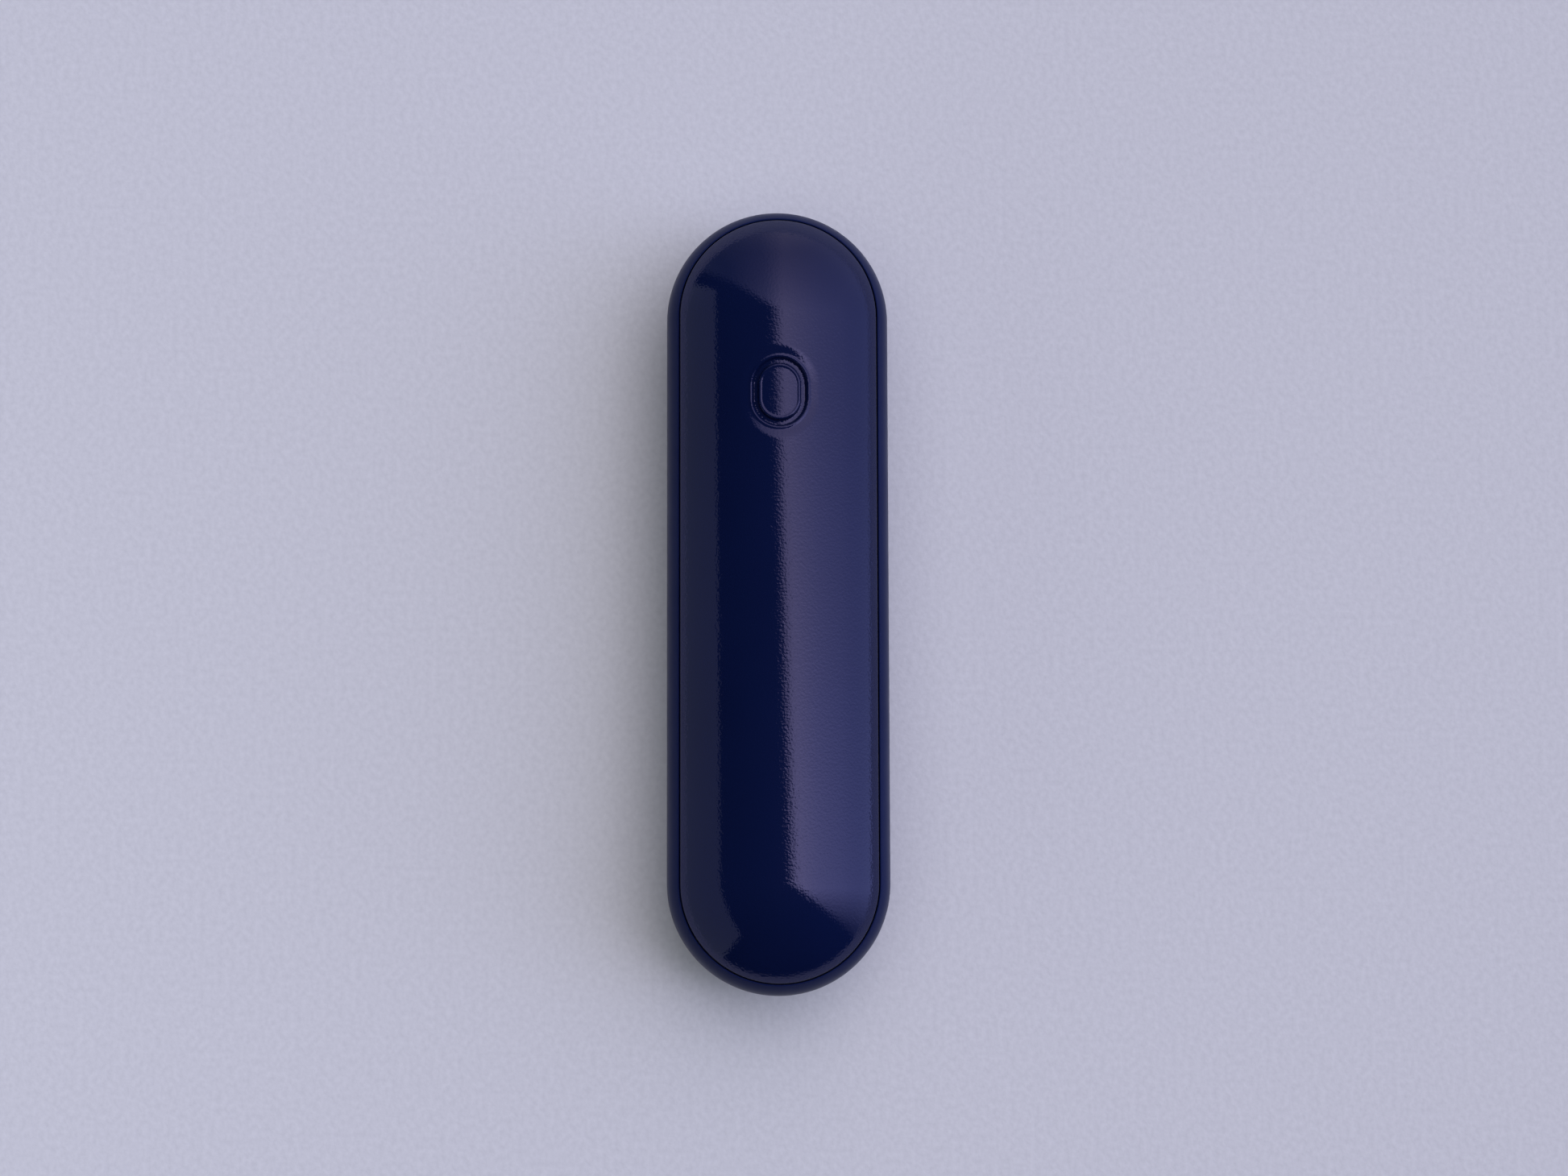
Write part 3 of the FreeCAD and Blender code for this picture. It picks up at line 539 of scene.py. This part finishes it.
def make_lid():
    lid = round_stadium("lid_crown", lid_section(), fine_at=MARK_X, shift=press_mark)
    for start, end in knuckle_spans(0):
        cut = hinge_bar("relief", KNUCKLE_RADIUS + KNUCKLE_GAP, start - KNUCKLE_GAP, end + KNUCKLE_GAP)
        apply_boolean(lid, cut, "DIFFERENCE")
    for start, end in knuckle_spans(1):
        apply_boolean(lid, hinge_bar("knuckle", KNUCKLE_RADIUS, start, end), "UNION")
    bore = hinge_bar("bore", PIN_BORE, -KNUCKLE_SPAN - KNUCKLE_GAP, KNUCKLE_SPAN + KNUCKLE_GAP)
    apply_boolean(lid, bore, "DIFFERENCE")
    sharpen(lid)
    finish(lid, "lid_gloss", "lid", "lid_shell")


# Base.

RIM_ROUND_START = 62.0
GUTTER_GAP = 0.15 * MM
PORT_GAP = 0.15 * MM
BUTTON_HOLE_RADIUS = 1.73 * MM
LAMP_HOLE_RADIUS = 0.65 * MM

# How far from the middle the cuts through the wall start.
PORT_CUT_START = 3.0 * MM
BUTTON_CUT_START = 9.0 * MM
LAMP_CUT_START = 8.0 * MM


def base_section():
    """From the middle of the underside up the outside, over the rim and back down the inside."""
    rim_angle = math.degrees(math.acos((pocket_radius + RIM_EDGE_ROUND - shoulder_centre) / SHOULDER_RADIUS))
    rim_z = equator + SHOULDER_RADIUS * math.sin(math.radians(rim_angle))
    inner_shoulder = SHOULDER_RADIUS - BASE_WALL
    top_angle = math.degrees(math.asin((ledge - equator) / inner_shoulder))
    opening = shoulder_centre + inner_shoulder * math.cos(math.radians(top_angle))
    loop = [(0.0, 0.0), (BOTTOM_FLAT, 0.0)]
    loop += arc((BOTTOM_FLAT, BOTTOM_ROUND), BOTTOM_ROUND, -90, side_foot, 14)
    loop += arc((side_centre, equator), side_radius, side_foot, 0, 26)
    loop += arc((shoulder_centre, equator), SHOULDER_RADIUS, 0, rim_angle, 22)
    corner = (pocket_radius + RIM_EDGE_ROUND, rim_z - RIM_EDGE_ROUND)
    loop += arc(corner, RIM_EDGE_ROUND, RIM_ROUND_START, 180, 6)
    loop += line((pocket_radius, corner[1]), (pocket_radius, ledge), 3)
    loop += line((pocket_radius, ledge), (opening, ledge), 2)
    loop += arc((shoulder_centre, equator), inner_shoulder, top_angle, 0, 8)
    loop += arc((side_centre, equator), side_radius - BASE_WALL, 0, side_foot, 14)
    loop += arc((BOTTOM_FLAT, BOTTOM_ROUND), BOTTOM_ROUND - BASE_WALL, side_foot, -90, 6)
    loop += [(0.0, BASE_WALL)]
    return without_doubles(loop)


def stadium_prism(name, radius, low, high):
    """Closed upright prism with straight sides and round ends."""
    return round_stadium(name, [(0.0, low), (radius, low), (radius, high), (0.0, high)])


def gutter_form():
    """Room in the back rim for the lid's edge as it swings down."""
    radius = math.hypot(lid_radius - HINGE_Y, HINGE_Z - lid_edge) + GUTTER_GAP
    half = straight_half + math.sqrt(lid_radius ** 2 - HINGE_Y ** 2) + GUTTER_GAP
    form = hinge_bar("gutter", radius, -half, half)
    limit = stadium_prism("limit", pocket_radius, ledge - radius, lid_edge + MM)
    apply_boolean(form, limit, "INTERSECT")
    return form


def port_form():
    """Round-sided bar through the back wall, a little wider than the socket."""
    low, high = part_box("usb_socket")
    radius = (high[2] - low[2]) / 2
    middle = (high[2] + low[2]) / 2
    half = (high[0] - low[0]) / 2 - radius
    outline = arc((half, middle), radius + PORT_GAP, -90, 90, 20)
    outline += arc((-half, middle), radius + PORT_GAP, 90, 270, 20)
    bm = bmesh.new()
    front, back = [
        [bm.verts.new((x, y, z)) for x, z in outline] for y in (PORT_CUT_START, end_radius + MM)
    ]
    for k in range(len(outline)):
        after = (k + 1) % len(outline)
        bm.faces.new((front[k], front[after], back[after], back[k]))
    bm.faces.new(front)
    bm.faces.new(list(reversed(back)))
    return from_bmesh("port", bm, smooth=False)


def make_base():
    base = round_stadium("base_body", base_section())
    apply_boolean(base, port_form(), "DIFFERENCE")
    x, _, z = centre_of("pairing_button")
    hole = bar("hole", BUTTON_HOLE_RADIUS, (x, BUTTON_CUT_START, z), (x, end_radius + MM, z), 64)
    apply_boolean(base, hole, "DIFFERENCE")
    x, _, z = centre_of("light_pipe")
    hole = bar("hole", LAMP_HOLE_RADIUS, (x, -LAMP_CUT_START, z), (x, -end_radius - MM, z))
    apply_boolean(base, hole, "DIFFERENCE")
    apply_boolean(base, gutter_form(), "DIFFERENCE")
    sharpen(base)
    finish(base, "base_satin", "base", "base_shell")


SCREW_HEAD_RADIUS = 1.0 * MM
POST_BORE = 0.55 * MM
POST_RADIUS = 1.25 * MM
POST_FLARE = 0.2 * MM
POST_FLARE_RISE = 0.3 * MM
POST_EDGE = 0.1 * MM
POST_FOOT = 0.9 * BASE_WALL
RIB_GAP = 0.05 * MM
RIB_THICKNESS = 0.8 * MM


def post_profile(top):
    """Half section of a screw post that flares where it meets the floor."""
    return [
        (POST_BORE, POST_FOOT),
        (POST_RADIUS + POST_FLARE, POST_FOOT),
        (POST_RADIUS, POST_FOOT + POST_FLARE_RISE),
        (POST_RADIUS, top - POST_EDGE),
        (POST_RADIUS - POST_EDGE, top),
        (POST_BORE, top),
    ]


def make_posts():
    """Screw posts for the board and the two ribs that keep the cell in place."""
    profile = post_profile(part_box("main_board")[0][2])
    screws_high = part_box("board_screws")[1]
    reach_x = screws_high[0] - SCREW_HEAD_RADIUS
    reach_y = screws_high[1] - SCREW_HEAD_RADIUS
    bm = bmesh.new()
    for x in (-reach_x, reach_x):
        for y in (-reach_y, reach_y):
            absorb(bm, lathed("post", profile, Matrix.Translation((x, y, 0)), 32))
    low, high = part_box("battery_cell")
    middle, quarter = (low[1] + high[1]) / 2, (high[1] - low[1]) / 4
    rib_top = low[2] + (high[2] - low[2]) / 3
    for side in (-1, 1):
        near = side * (high[0] + RIB_GAP)
        left, right = sorted((near, near + side * RIB_THICKNESS))
        absorb(bm, block("rib", (left, middle - quarter, POST_FOOT), (right, middle + quarter, rib_top)))
    posts = from_bmesh("base_posts", bm)
    bevel_edges(posts, POST_EDGE)
    finish(posts, "base_satin", "base")


# Lid liner.

LINER_GAP = 0.1 * MM
LINER_WALL = 0.7 * MM
LINER_RISE = 0.1 * MM
DOME_TOP_GAP = 0.8 * MM
DOME_FOOT = 7.2 * MM
NOTCH_GAP = 0.4 * MM
NOTCH_SET_BACK = 1.25 * MM


def liner_section():
    """Section of the lining and the height of its underside."""
    shelf = lid_edge + LINER_RISE
    top = shelf + LINER_WALL
    outer = crown_radius - LID_WALL - LINER_GAP
    low = math.degrees(math.asin((shelf - crown_centre) / outer))
    high = math.degrees(math.asin((top - crown_centre) / outer))
    apex = case_height - LID_WALL - DOME_TOP_GAP
    dome = (DOME_FOOT ** 2 + (apex - top) ** 2) / (2 * (apex - top))
    foot = math.degrees(math.acos(DOME_FOOT / dome))
    inner = dome - LINER_WALL
    inner_foot = math.degrees(math.asin((shelf - apex + dome) / inner))
    loop = arc((0, crown_centre), outer, low, high, 3)
    loop += line(loop[-1], (DOME_FOOT, top), 3)
    loop += arc((0, apex - dome), dome, foot, 90, 22)
    loop += arc((0, apex - dome), inner, 90, inner_foot, 22)
    return without_doubles(loop), shelf


def make_liner():
    loop, shelf = liner_section()
    liner = round_stadium("lid_lining", loop)
    span = KNUCKLE_SPAN + NOTCH_GAP
    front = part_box("hinge_bracket")[0][1] + NOTCH_SET_BACK
    notch = block("notch", (-span, front, shelf - MM), (span, end_radius, case_height))
    apply_boolean(liner, notch, "DIFFERENCE")
    sharpen(liner)
    finish(liner, "liner_black", "lid", "lid_liner")


# Earbuds. The right-hand one is made first, and the left-hand one is its mirror image.

HEAD_RADIUS = 7.0 * MM
HEAD_HALF_HEIGHT = 5.5 * MM
STEM_RADIUS = 2.75 * MM
STEM_END = 6.2 * MM
BUD_WALL = 0.9 * MM
BUD_CREASE_DEGREES = 40.0
VOXEL = 0.2 * MM
SOFTEN_SHARE = 0.5
SOFTEN_ROUNDS = 7
PARTING_GAP = 0.05 * MM
TOUCH_RADIUS = 3.4 * MM
TOUCH_DEPTH = 0.16 * MM
TOUCH_FLAT = 0.15
NOZZLE_RADIUS = 2.55 * MM
NOZZLE_BORE = 1.9 * MM
NOZZLE_LIP = 0.12 * MM
NOZZLE_ROOT = 0.7 * BUD_WALL
BORE_GAP = 0.1 * MM
TIP_RADIUS = 5.4 * MM
TIP_WALL = 0.6 * MM
TIP_HEIGHT = 4.0 * MM
SLEEVE_HEIGHT = 2.8 * MM
SLEEVE_GAP = 0.05 * MM
SLEEVE_ROUND = 0.2 * MM
SLEEVE_OUTER_EDGE = 0.15 * MM
SLEEVE_INNER_EDGE = 0.1 * MM
CONTACT_HOLE = 0.85 * MM
MIC_HOLE = 0.65 * MM
DECK_GAP = 0.1 * MM
HEAD_SINK = 3.1 * MM
STEM_SINK = 0.9 * MM

deck = lid_edge - DECK_GAP
head_x = straight_half
head_z = deck - HEAD_SINK
stem_z = deck - STEM_SINK
split_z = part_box("bud_right_cap")[0][2]
nozzle_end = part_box("bud_right_body")[0][2]
tip_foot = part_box("bud_right_ear_tip")[0][2]


def bud_form(inset):
    """Head and stem grown together, with the corner between them softened."""
    bm = bmesh.new()
    head = bmesh.ops.create_uvsphere(bm, u_segments=72, v_segments=48, radius=1.0)["verts"]
    wide, tall = HEAD_RADIUS - inset, HEAD_HALF_HEIGHT - inset
    size = Matrix.Diagonal((wide, wide, tall, 1.0))
    bmesh.ops.transform(bm, matrix=Matrix.Translation((head_x, 0, head_z)) @ size, verts=head)
    radius = STEM_RADIUS - inset
    start = STEM_END + STEM_RADIUS
    ball = bmesh.ops.create_uvsphere(bm, u_segments=48, v_segments=32, radius=radius)["verts"]
    bmesh.ops.transform(bm, matrix=Matrix.Translation((start, 0, stem_z)), verts=ball)
    absorb(bm, bar("rod", radius, (start, 0, stem_z), (head_x, 0, stem_z)))
    form = from_bmesh("form", bm)
    grown = form.modifiers.new("grown", "REMESH")
    grown.mode = "VOXEL"
    grown.voxel_size = VOXEL
    soft = form.modifiers.new("soft", "SMOOTH")
    soft.factor = SOFTEN_SHARE
    soft.iterations = SOFTEN_ROUNDS
    bake(form)
    mesh = form.data
    bpy.data.objects.remove(form, do_unlink=True)
    return mesh


def bud_half(name, outer, inner, upper):
    """One half of the hollow earbud body, cut at the parting line and closed round its rim."""
    bm = bmesh.new()
    bm.from_mesh(inner)
    bmesh.ops.reverse_faces(bm, faces=bm.faces)
    bm.from_mesh(outer)
    side = 1 if upper else -1
    height = split_z + side * PARTING_GAP / 2
    cut = bmesh.ops.bisect_plane(
        bm,
        geom=bm.verts[:] + bm.edges[:] + bm.faces[:],
        plane_co=(0, 0, height),
        plane_no=(0, 0, side),
        clear_inner=True,
    )
    rim = [g for g in cut["geom_cut"] if isinstance(g, bmesh.types.BMEdge)]
    bmesh.ops.triangle_fill(bm, edges=rim, use_beauty=True)
    if upper:
        for vert in bm.verts:
            away = math.hypot(vert.co.x - head_x, vert.co.y)
            if vert.co.z > head_z + HEAD_HALF_HEIGHT / 2 and away < TOUCH_RADIUS:
                vert.co.z -= TOUCH_DEPTH * (1 - smooth_step(away / TOUCH_RADIUS - TOUCH_FLAT))
    return from_bmesh(name, bm)


def mirrored(piece, name):
    """The same mesh on the other side of the middle."""
    mesh = piece.data.copy()
    mesh.transform(Matrix.Diagonal((-1, 1, 1, 1)))
    mesh.flip_normals()
    return new_object(name, mesh)


def nozzle_profile():
    """Nozzle with a small lip that holds the ear tip on."""
    root = head_z - HEAD_HALF_HEIGHT + NOZZLE_ROOT
    neck = NOZZLE_RADIUS - NOZZLE_LIP
    return [
        (NOZZLE_BORE, nozzle_end + NOZZLE_LIP),
        (NOZZLE_BORE + NOZZLE_LIP, nozzle_end),
        (neck, nozzle_end),
        (NOZZLE_RADIUS, nozzle_end + NOZZLE_LIP),
        (NOZZLE_RADIUS, nozzle_end + 5 * NOZZLE_LIP),
        (neck, nozzle_end + 6 * NOZZLE_LIP),
        (neck, root),
        (NOZZLE_BORE, root),
    ]


def tip_profile():
    """Silicone tip: a domed skirt that turns in to a sleeve on the nozzle."""
    sleeve = NOZZLE_RADIUS + SLEEVE_GAP
    bend = TIP_RADIUS / 2
    centre = (TIP_RADIUS - bend, tip_foot + bend)
    rim = tip_foot + TIP_HEIGHT
    loop = arc(centre, bend, -90, 0, 16)
    loop += line(loop[-1], (TIP_RADIUS, rim - TIP_WALL / 2), 2)
    loop += arc((TIP_RADIUS - TIP_WALL / 2, rim - TIP_WALL / 2), TIP_WALL / 2, 0, 180, 8)
    loop += arc(centre, bend - TIP_WALL, 0, -90, 14)
    corner = sleeve + TIP_WALL
    inside = (corner + SLEEVE_ROUND, tip_foot + TIP_WALL + SLEEVE_ROUND)
    loop += arc(inside, SLEEVE_ROUND, 270, 180, 4)
    top = tip_foot + SLEEVE_HEIGHT
    loop += [(corner, top - SLEEVE_OUTER_EDGE), (corner - SLEEVE_OUTER_EDGE, top)]
    loop += [(sleeve + SLEEVE_INNER_EDGE, top), (sleeve, top - SLEEVE_INNER_EDGE)]
    mouth = (sleeve + SLEEVE_ROUND, tip_foot + SLEEVE_ROUND)
    loop += arc(mouth, SLEEVE_ROUND, 180, 270, 4)
    return without_doubles(loop)


def make_buds():
    outer, inner = bud_form(0.0), bud_form(BUD_WALL)
    top = bud_half("earbud_right_top", outer, inner, True)
    lower = bud_half("earbud_right_lower", outer, inner, False)
    on_head = Matrix.Translation((head_x, 0, 0))
    bore_top = (head_x, 0, head_z - HEAD_HALF_HEIGHT + 2 * BUD_WALL)
    bore = bar("bore", NOZZLE_BORE + BORE_GAP, (head_x, 0, nozzle_end - MM), bore_top)
    apply_boolean(lower, bore, "DIFFERENCE")
    apply_boolean(lower, lathed("nozzle", nozzle_profile(), on_head), "UNION")
    low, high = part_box("bud_right_contacts")
    radius = (high[1] - low[1]) / 2
    for x in (low[0] + radius, high[0] - radius):
        hole = bar("hole", CONTACT_HOLE, (x, 0, stem_z - 2 * STEM_RADIUS), (x, 0, stem_z - BUD_WALL))
        apply_boolean(lower, hole, "DIFFERENCE")
    z = centre_of("bud_right_mic_mesh")[2]
    mouth = bar("mouth", MIC_HOLE, (STEM_END - MM, 0, z), (STEM_END + STEM_RADIUS, 0, z), 32)
    apply_boolean(lower, mouth, "DIFFERENCE")
    tip = lathed("earbud_right_tip", tip_profile(), on_head)
    made = (
        (top, "top", "bud_gloss", "cap"),
        (lower, "lower", "bud_satin", "body"),
        (tip, "tip", "silicone", "ear_tip"),
    )
    for piece, word, slot, node in made:
        sharpen(piece, BUD_CREASE_DEGREES)
        other = mirrored(piece, "earbud_left_" + word)
        finish(piece, slot, "base", "bud_right_" + node)
        finish(other, slot, "base", "bud_left_" + node)


# Button, lamp and port.

STUB_RADIUS = 0.6 * MM
STUB_LENGTH = 0.55 * MM
FLANGE_WIDTH = 0.5 * MM
FLANGE_THICKNESS = 0.5 * MM
CAP_ROUND = 0.22 * MM
CAP_DISH = 0.12 * MM
DISH_STEEPNESS = 1.6
LENS_SWELL = 0.12 * MM
FINGER_COUNT = 12
FINGER_PITCH = 0.5 * MM
FINGER_HALF = 0.13 * MM
FINGER_RISE = 0.03 * MM
FINGER_START = 1.3 * MM
FINGER_LENGTH = 3.6 * MM
LONG_FINGER_LENGTH = 3.8 * MM
FINGER_EDGE = 0.02 * MM
TONGUE_HALF = 0.35 * MM


def facing_back(x, z):
    """Turns a lathed piece's height into +Y, on the line at x and z."""
    return Matrix.Translation((x, 0, z)) @ Matrix.Rotation(math.radians(-90), 4, "X")


def make_button():
    low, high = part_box("pairing_button")
    x, _, z = centre_of("pairing_button")
    foot, face = low[1], high[1]
    flange = (high[0] - low[0]) / 2
    cap = flange - FLANGE_WIDTH
    rear = foot + STUB_LENGTH
    profile = [(0.0, foot), (STUB_RADIUS, foot), (STUB_RADIUS, rear)]
    profile += [(flange, rear), (flange, rear + FLANGE_THICKNESS), (cap, rear + FLANGE_THICKNESS)]
    edge = cap - CAP_ROUND
    profile += arc((edge, face - CAP_ROUND), CAP_ROUND, 0, 90, 8)
    for step in range(1, 9):
        sunk = CAP_DISH * smooth_step(DISH_STEEPNESS * step / 8)
        profile.append((edge * (1 - step / 8), face - sunk))
    button = lathed("button_cap", without_doubles(profile), facing_back(x, z))
    sharpen(button)
    finish(button, "base_satin", "pairing_button", "pairing_button")


def make_lamp():
    low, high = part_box("light_pipe")
    x, _, z = centre_of("light_pipe")
    radius = (high[0] - low[0]) / 2
    profile = [(0.0, high[1]), (radius, high[1])]
    for step in range(9):
        angle = math.radians(90 * step / 8)
        profile.append((radius * math.cos(angle), low[1] + LENS_SWELL * (1 - math.sin(angle))))
    lamp = lathed("lamp_lens", profile, facing_back(x, z), 48)
    sharpen(lamp)
    finish(lamp, "clear", "base", "light_pipe")


def make_port_contacts():
    """Gold fingers on both faces of the socket's tongue. Every third one is a little longer."""
    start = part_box("usb_socket")[0][1] + FINGER_START
    middle = centre_of("usb_socket")[2]
    bm = bmesh.new()
    for face in (-1, 1):
        z = middle + face * TONGUE_HALF
        for number in range(FINGER_COUNT):
            x = (number - (FINGER_COUNT - 1) / 2) * FINGER_PITCH
            end = start + (FINGER_LENGTH if number % 3 else LONG_FINGER_LENGTH)
            near = (x - FINGER_HALF, start, z - FINGER_RISE)
            absorb(bm, block("finger", near, (x + FINGER_HALF, end, z + FINGER_RISE)))
    fingers = from_bmesh("port_contacts", bm, smooth=False)
    bevel_edges(fingers, FINGER_EDGE)
    finish(fingers, "gold", "base")


# Materials of the CAD pieces that stay.

def dress_frame():
    slots = {part["node"]: part["material_slot"] for part in record["subparts"]}
    for node, piece in frame["nodes"].items():
        material = MATERIALS[slots[node]]
        for place in piece.material_slots:
            place.material = material


# Stage, light and camera. Lengths without MM are in metres, apart from the lens and its sensor.

FLOOR_HALF = 3.0
FLOOR_ROUGHNESS = 0.9
FLOOR_LEVEL = 0.15
FLOOR_STOPS = [(0.3, (0.60, 0.61, 0.64)), (0.7, (0.66, 0.67, 0.70))]
FIBRE_SCALE = 1400.0
FIBRE_HEIGHT = 0.04 * MM


def make_floor():
    bm = bmesh.new()
    bmesh.ops.create_grid(bm, x_segments=2, y_segments=2, size=FLOOR_HALF)
    floor = from_bmesh("floor", bm, smooth=False)
    material, tree, shader = new_material(
        "floor_paper", Roughness=FLOOR_ROUGHNESS, Specular_IOR_Level=FLOOR_LEVEL
    )
    fibre = noise(tree, FIBRE_SCALE, 4.0)
    tree.links.new(ramp(tree, fibre, FLOOR_STOPS), shader.inputs["Base Color"])
    tree.links.new(bump(tree, fibre, FIBRE_HEIGHT), shader.inputs["Normal"])
    floor.data.materials.append(material)


def area_light(name, centre, aim, size_x, size_y, energy, colour):
    """Rectangular lamp that the camera doesn't see."""
    light = bpy.data.lights.new(name, "AREA")
    light.shape = "RECTANGLE"
    light.size = size_x
    light.size_y = size_y
    light.energy = energy
    light.color = colour
    lamp = bpy.data.objects.new(name, light)
    toward = (Vector(aim) - Vector(centre)).to_track_quat("-Z", "Y").to_matrix().to_4x4()
    lamp.matrix_world = Matrix.Translation(centre) @ toward
    lamp.visible_camera = False
    bpy.context.scene.collection.objects.link(lamp)
    return lamp


LENS = 71.4
SENSOR_WIDTH = 36.0
CAMERA_EYE = (-31.35 * MM, 11.2 * MM, equator + 363.0 * MM)
CAMERA_AIM = (1.50 * MM, -0.72 * MM, equator)


def make_camera():
    """Looks down with the case upright in the picture: image up is +X, image right is -Y."""
    camera = bpy.data.cameras.new("camera")
    camera.lens = LENS
    camera.sensor_width = SENSOR_WIDTH
    eye, aim = Vector(CAMERA_EYE), Vector(CAMERA_AIM)
    holder = bpy.data.objects.new("camera", camera)
    back = (eye - aim).normalized()
    right = Vector((0, -1, 0))
    right = (right - back * right.dot(back)).normalized()
    up = back.cross(right)
    turn = Matrix((right, up, back)).transposed().to_4x4()
    holder.matrix_world = Matrix.Translation(eye) @ turn
    bpy.context.scene.collection.objects.link(holder)
    bpy.context.scene.camera = holder


def dot(tree, vector, direction):
    node = tree.nodes.new("ShaderNodeVectorMath")
    node.operation = "DOT_PRODUCT"
    node.inputs[1].default_value = direction
    tree.links.new(vector, node.inputs[0])
    return node.outputs["Value"]


def product(tree, first, second):
    """One colour times another."""
    node = tree.nodes.new("ShaderNodeMix")
    node.data_type = "RGBA"
    node.blend_type = "MULTIPLY"
    node.inputs["Factor"].default_value = 1.0
    tree.links.new(first, node.inputs["A"])
    tree.links.new(second, node.inputs["B"])
    return node.outputs["Result"]


# Direction square to the plane that the softbox's edge lies in.
SOFTBOX_EDGE = (0.8, -0.6, -0.0866)
SOFTBOX_LEVEL = 4.4
BACKDROP = (0.60, 0.62, 0.68)

# Levels across the softbox's edge, from dark to full.
EDGE_STOPS = [(0.0, (0.006,) * 3), (0.085, (1.0,) * 3)]

# Levels from the foot end (0) over the middle (0.5) to the head end (1).
UPWARD_STOPS = [
    (0.25, (0.12,) * 3),
    (0.46, (1.0,) * 3),
    (0.50, (1.0,) * 3),
    (0.525, (0.80,) * 3),
    (0.58, (0.55,) * 3),
    (0.95, (0.20,) * 3),
]

# Colours from the far left (0) over the middle (0.5) to the far right (1).
RIGHTWARD_STOPS = [
    (0.20, (0.12, 0.14, 0.20)),
    (0.42, (0.45, 0.44, 0.55)),
    (0.54, (0.95, 0.86, 0.97)),
    (0.78, (0.58, 0.58, 0.78)),
    (0.92, (0.42, 0.44, 0.65)),
    (1.00, (0.27, 0.30, 0.50)),
]


def across_sky(tree, way, half_direction, stops):
    """Colour by how far a direction of the sky lies along half_direction, 0.5 being square to it."""
    return ramp(tree, spread(tree, dot(tree, way, half_direction), 0.5, 1.5), stops)


def make_world():
    """A softbox fills the sky on one side of a slanting edge, and the camera sees a plain backdrop."""
    world = bpy.data.worlds.new("studio")
    world.use_nodes = True
    tree = world.node_tree
    way = tree.nodes.new("ShaderNodeTexCoord").outputs["Generated"]
    edge = ramp(tree, dot(tree, way, SOFTBOX_EDGE), EDGE_STOPS)
    upward = across_sky(tree, way, (0.5, 0, 0), UPWARD_STOPS)
    rightward = across_sky(tree, way, (0, -0.5, 0), RIGHTWARD_STOPS)
    studio = tree.nodes["Background"]
    tree.links.new(product(tree, product(tree, edge, upward), rightward), studio.inputs["Color"])
    studio.inputs["Strength"].default_value = SOFTBOX_LEVEL
    plain = tree.nodes.new("ShaderNodeBackground")
    plain.inputs["Color"].default_value = (*BACKDROP, 1.0)
    choose = tree.nodes.new("ShaderNodeMixShader")
    seen = tree.nodes.new("ShaderNodeLightPath").outputs["Is Camera Ray"]
    tree.links.new(seen, choose.inputs["Fac"])
    tree.links.new(studio.outputs["Background"], choose.inputs[1])
    tree.links.new(plain.outputs["Background"], choose.inputs[2])
    tree.links.new(choose.outputs["Shader"], tree.nodes["World Output"].inputs["Surface"])
    bpy.context.scene.world = world


BOARD_DISTANCE = 0.25
BOARD_BEARING = math.radians(197.0)
BOARD_WIDTH = 2.08 * BOARD_DISTANCE
BOARD_HEIGHT = 0.77 * BOARD_DISTANCE
BOARD_SHIFT = 0.2 * BOARD_DISTANCE
BOARD_CLEARANCE = 10.0 * MM
BOARD_POWER = 0.141
BOARD_COLOUR = (0.88, 0.96, 1.0)
FILL_HEIGHT = 1.5
FILL_WIDTH = 2.0
FILL_POWER = 9.0
FILL_COLOUR = (0.97, 0.98, 1.0)


def make_lights():
    """A low upright board at the left, and an even fill from above that reflections don't show."""
    right, up = math.cos(BOARD_BEARING), math.sin(BOARD_BEARING)
    middle = BOARD_HEIGHT / 2 + BOARD_CLEARANCE
    sideways = Vector((-right, -up, 0)) * BOARD_SHIFT
    centre = Vector((up * BOARD_DISTANCE, -right * BOARD_DISTANCE, middle)) + sideways
    aim = sideways + Vector((0, 0, middle))
    area_light("side_board", centre, aim, BOARD_WIDTH, BOARD_HEIGHT, BOARD_POWER, BOARD_COLOUR)
    fill = area_light(
        "fill", (0, 0, FILL_HEIGHT), (0, 0, 0), FILL_WIDTH, FILL_WIDTH, FILL_POWER, FILL_COLOUR
    )
    fill.visible_glossy = False


# Standard keeps the colours as they were matched to the photograph.
bpy.context.scene.view_settings.view_transform = "Standard"
dress_frame()
make_lid()
make_base()
make_posts()
make_liner()
make_buds()
make_button()
make_lamp()
make_port_contacts()
make_floor()
make_world()
make_lights()
make_camera()
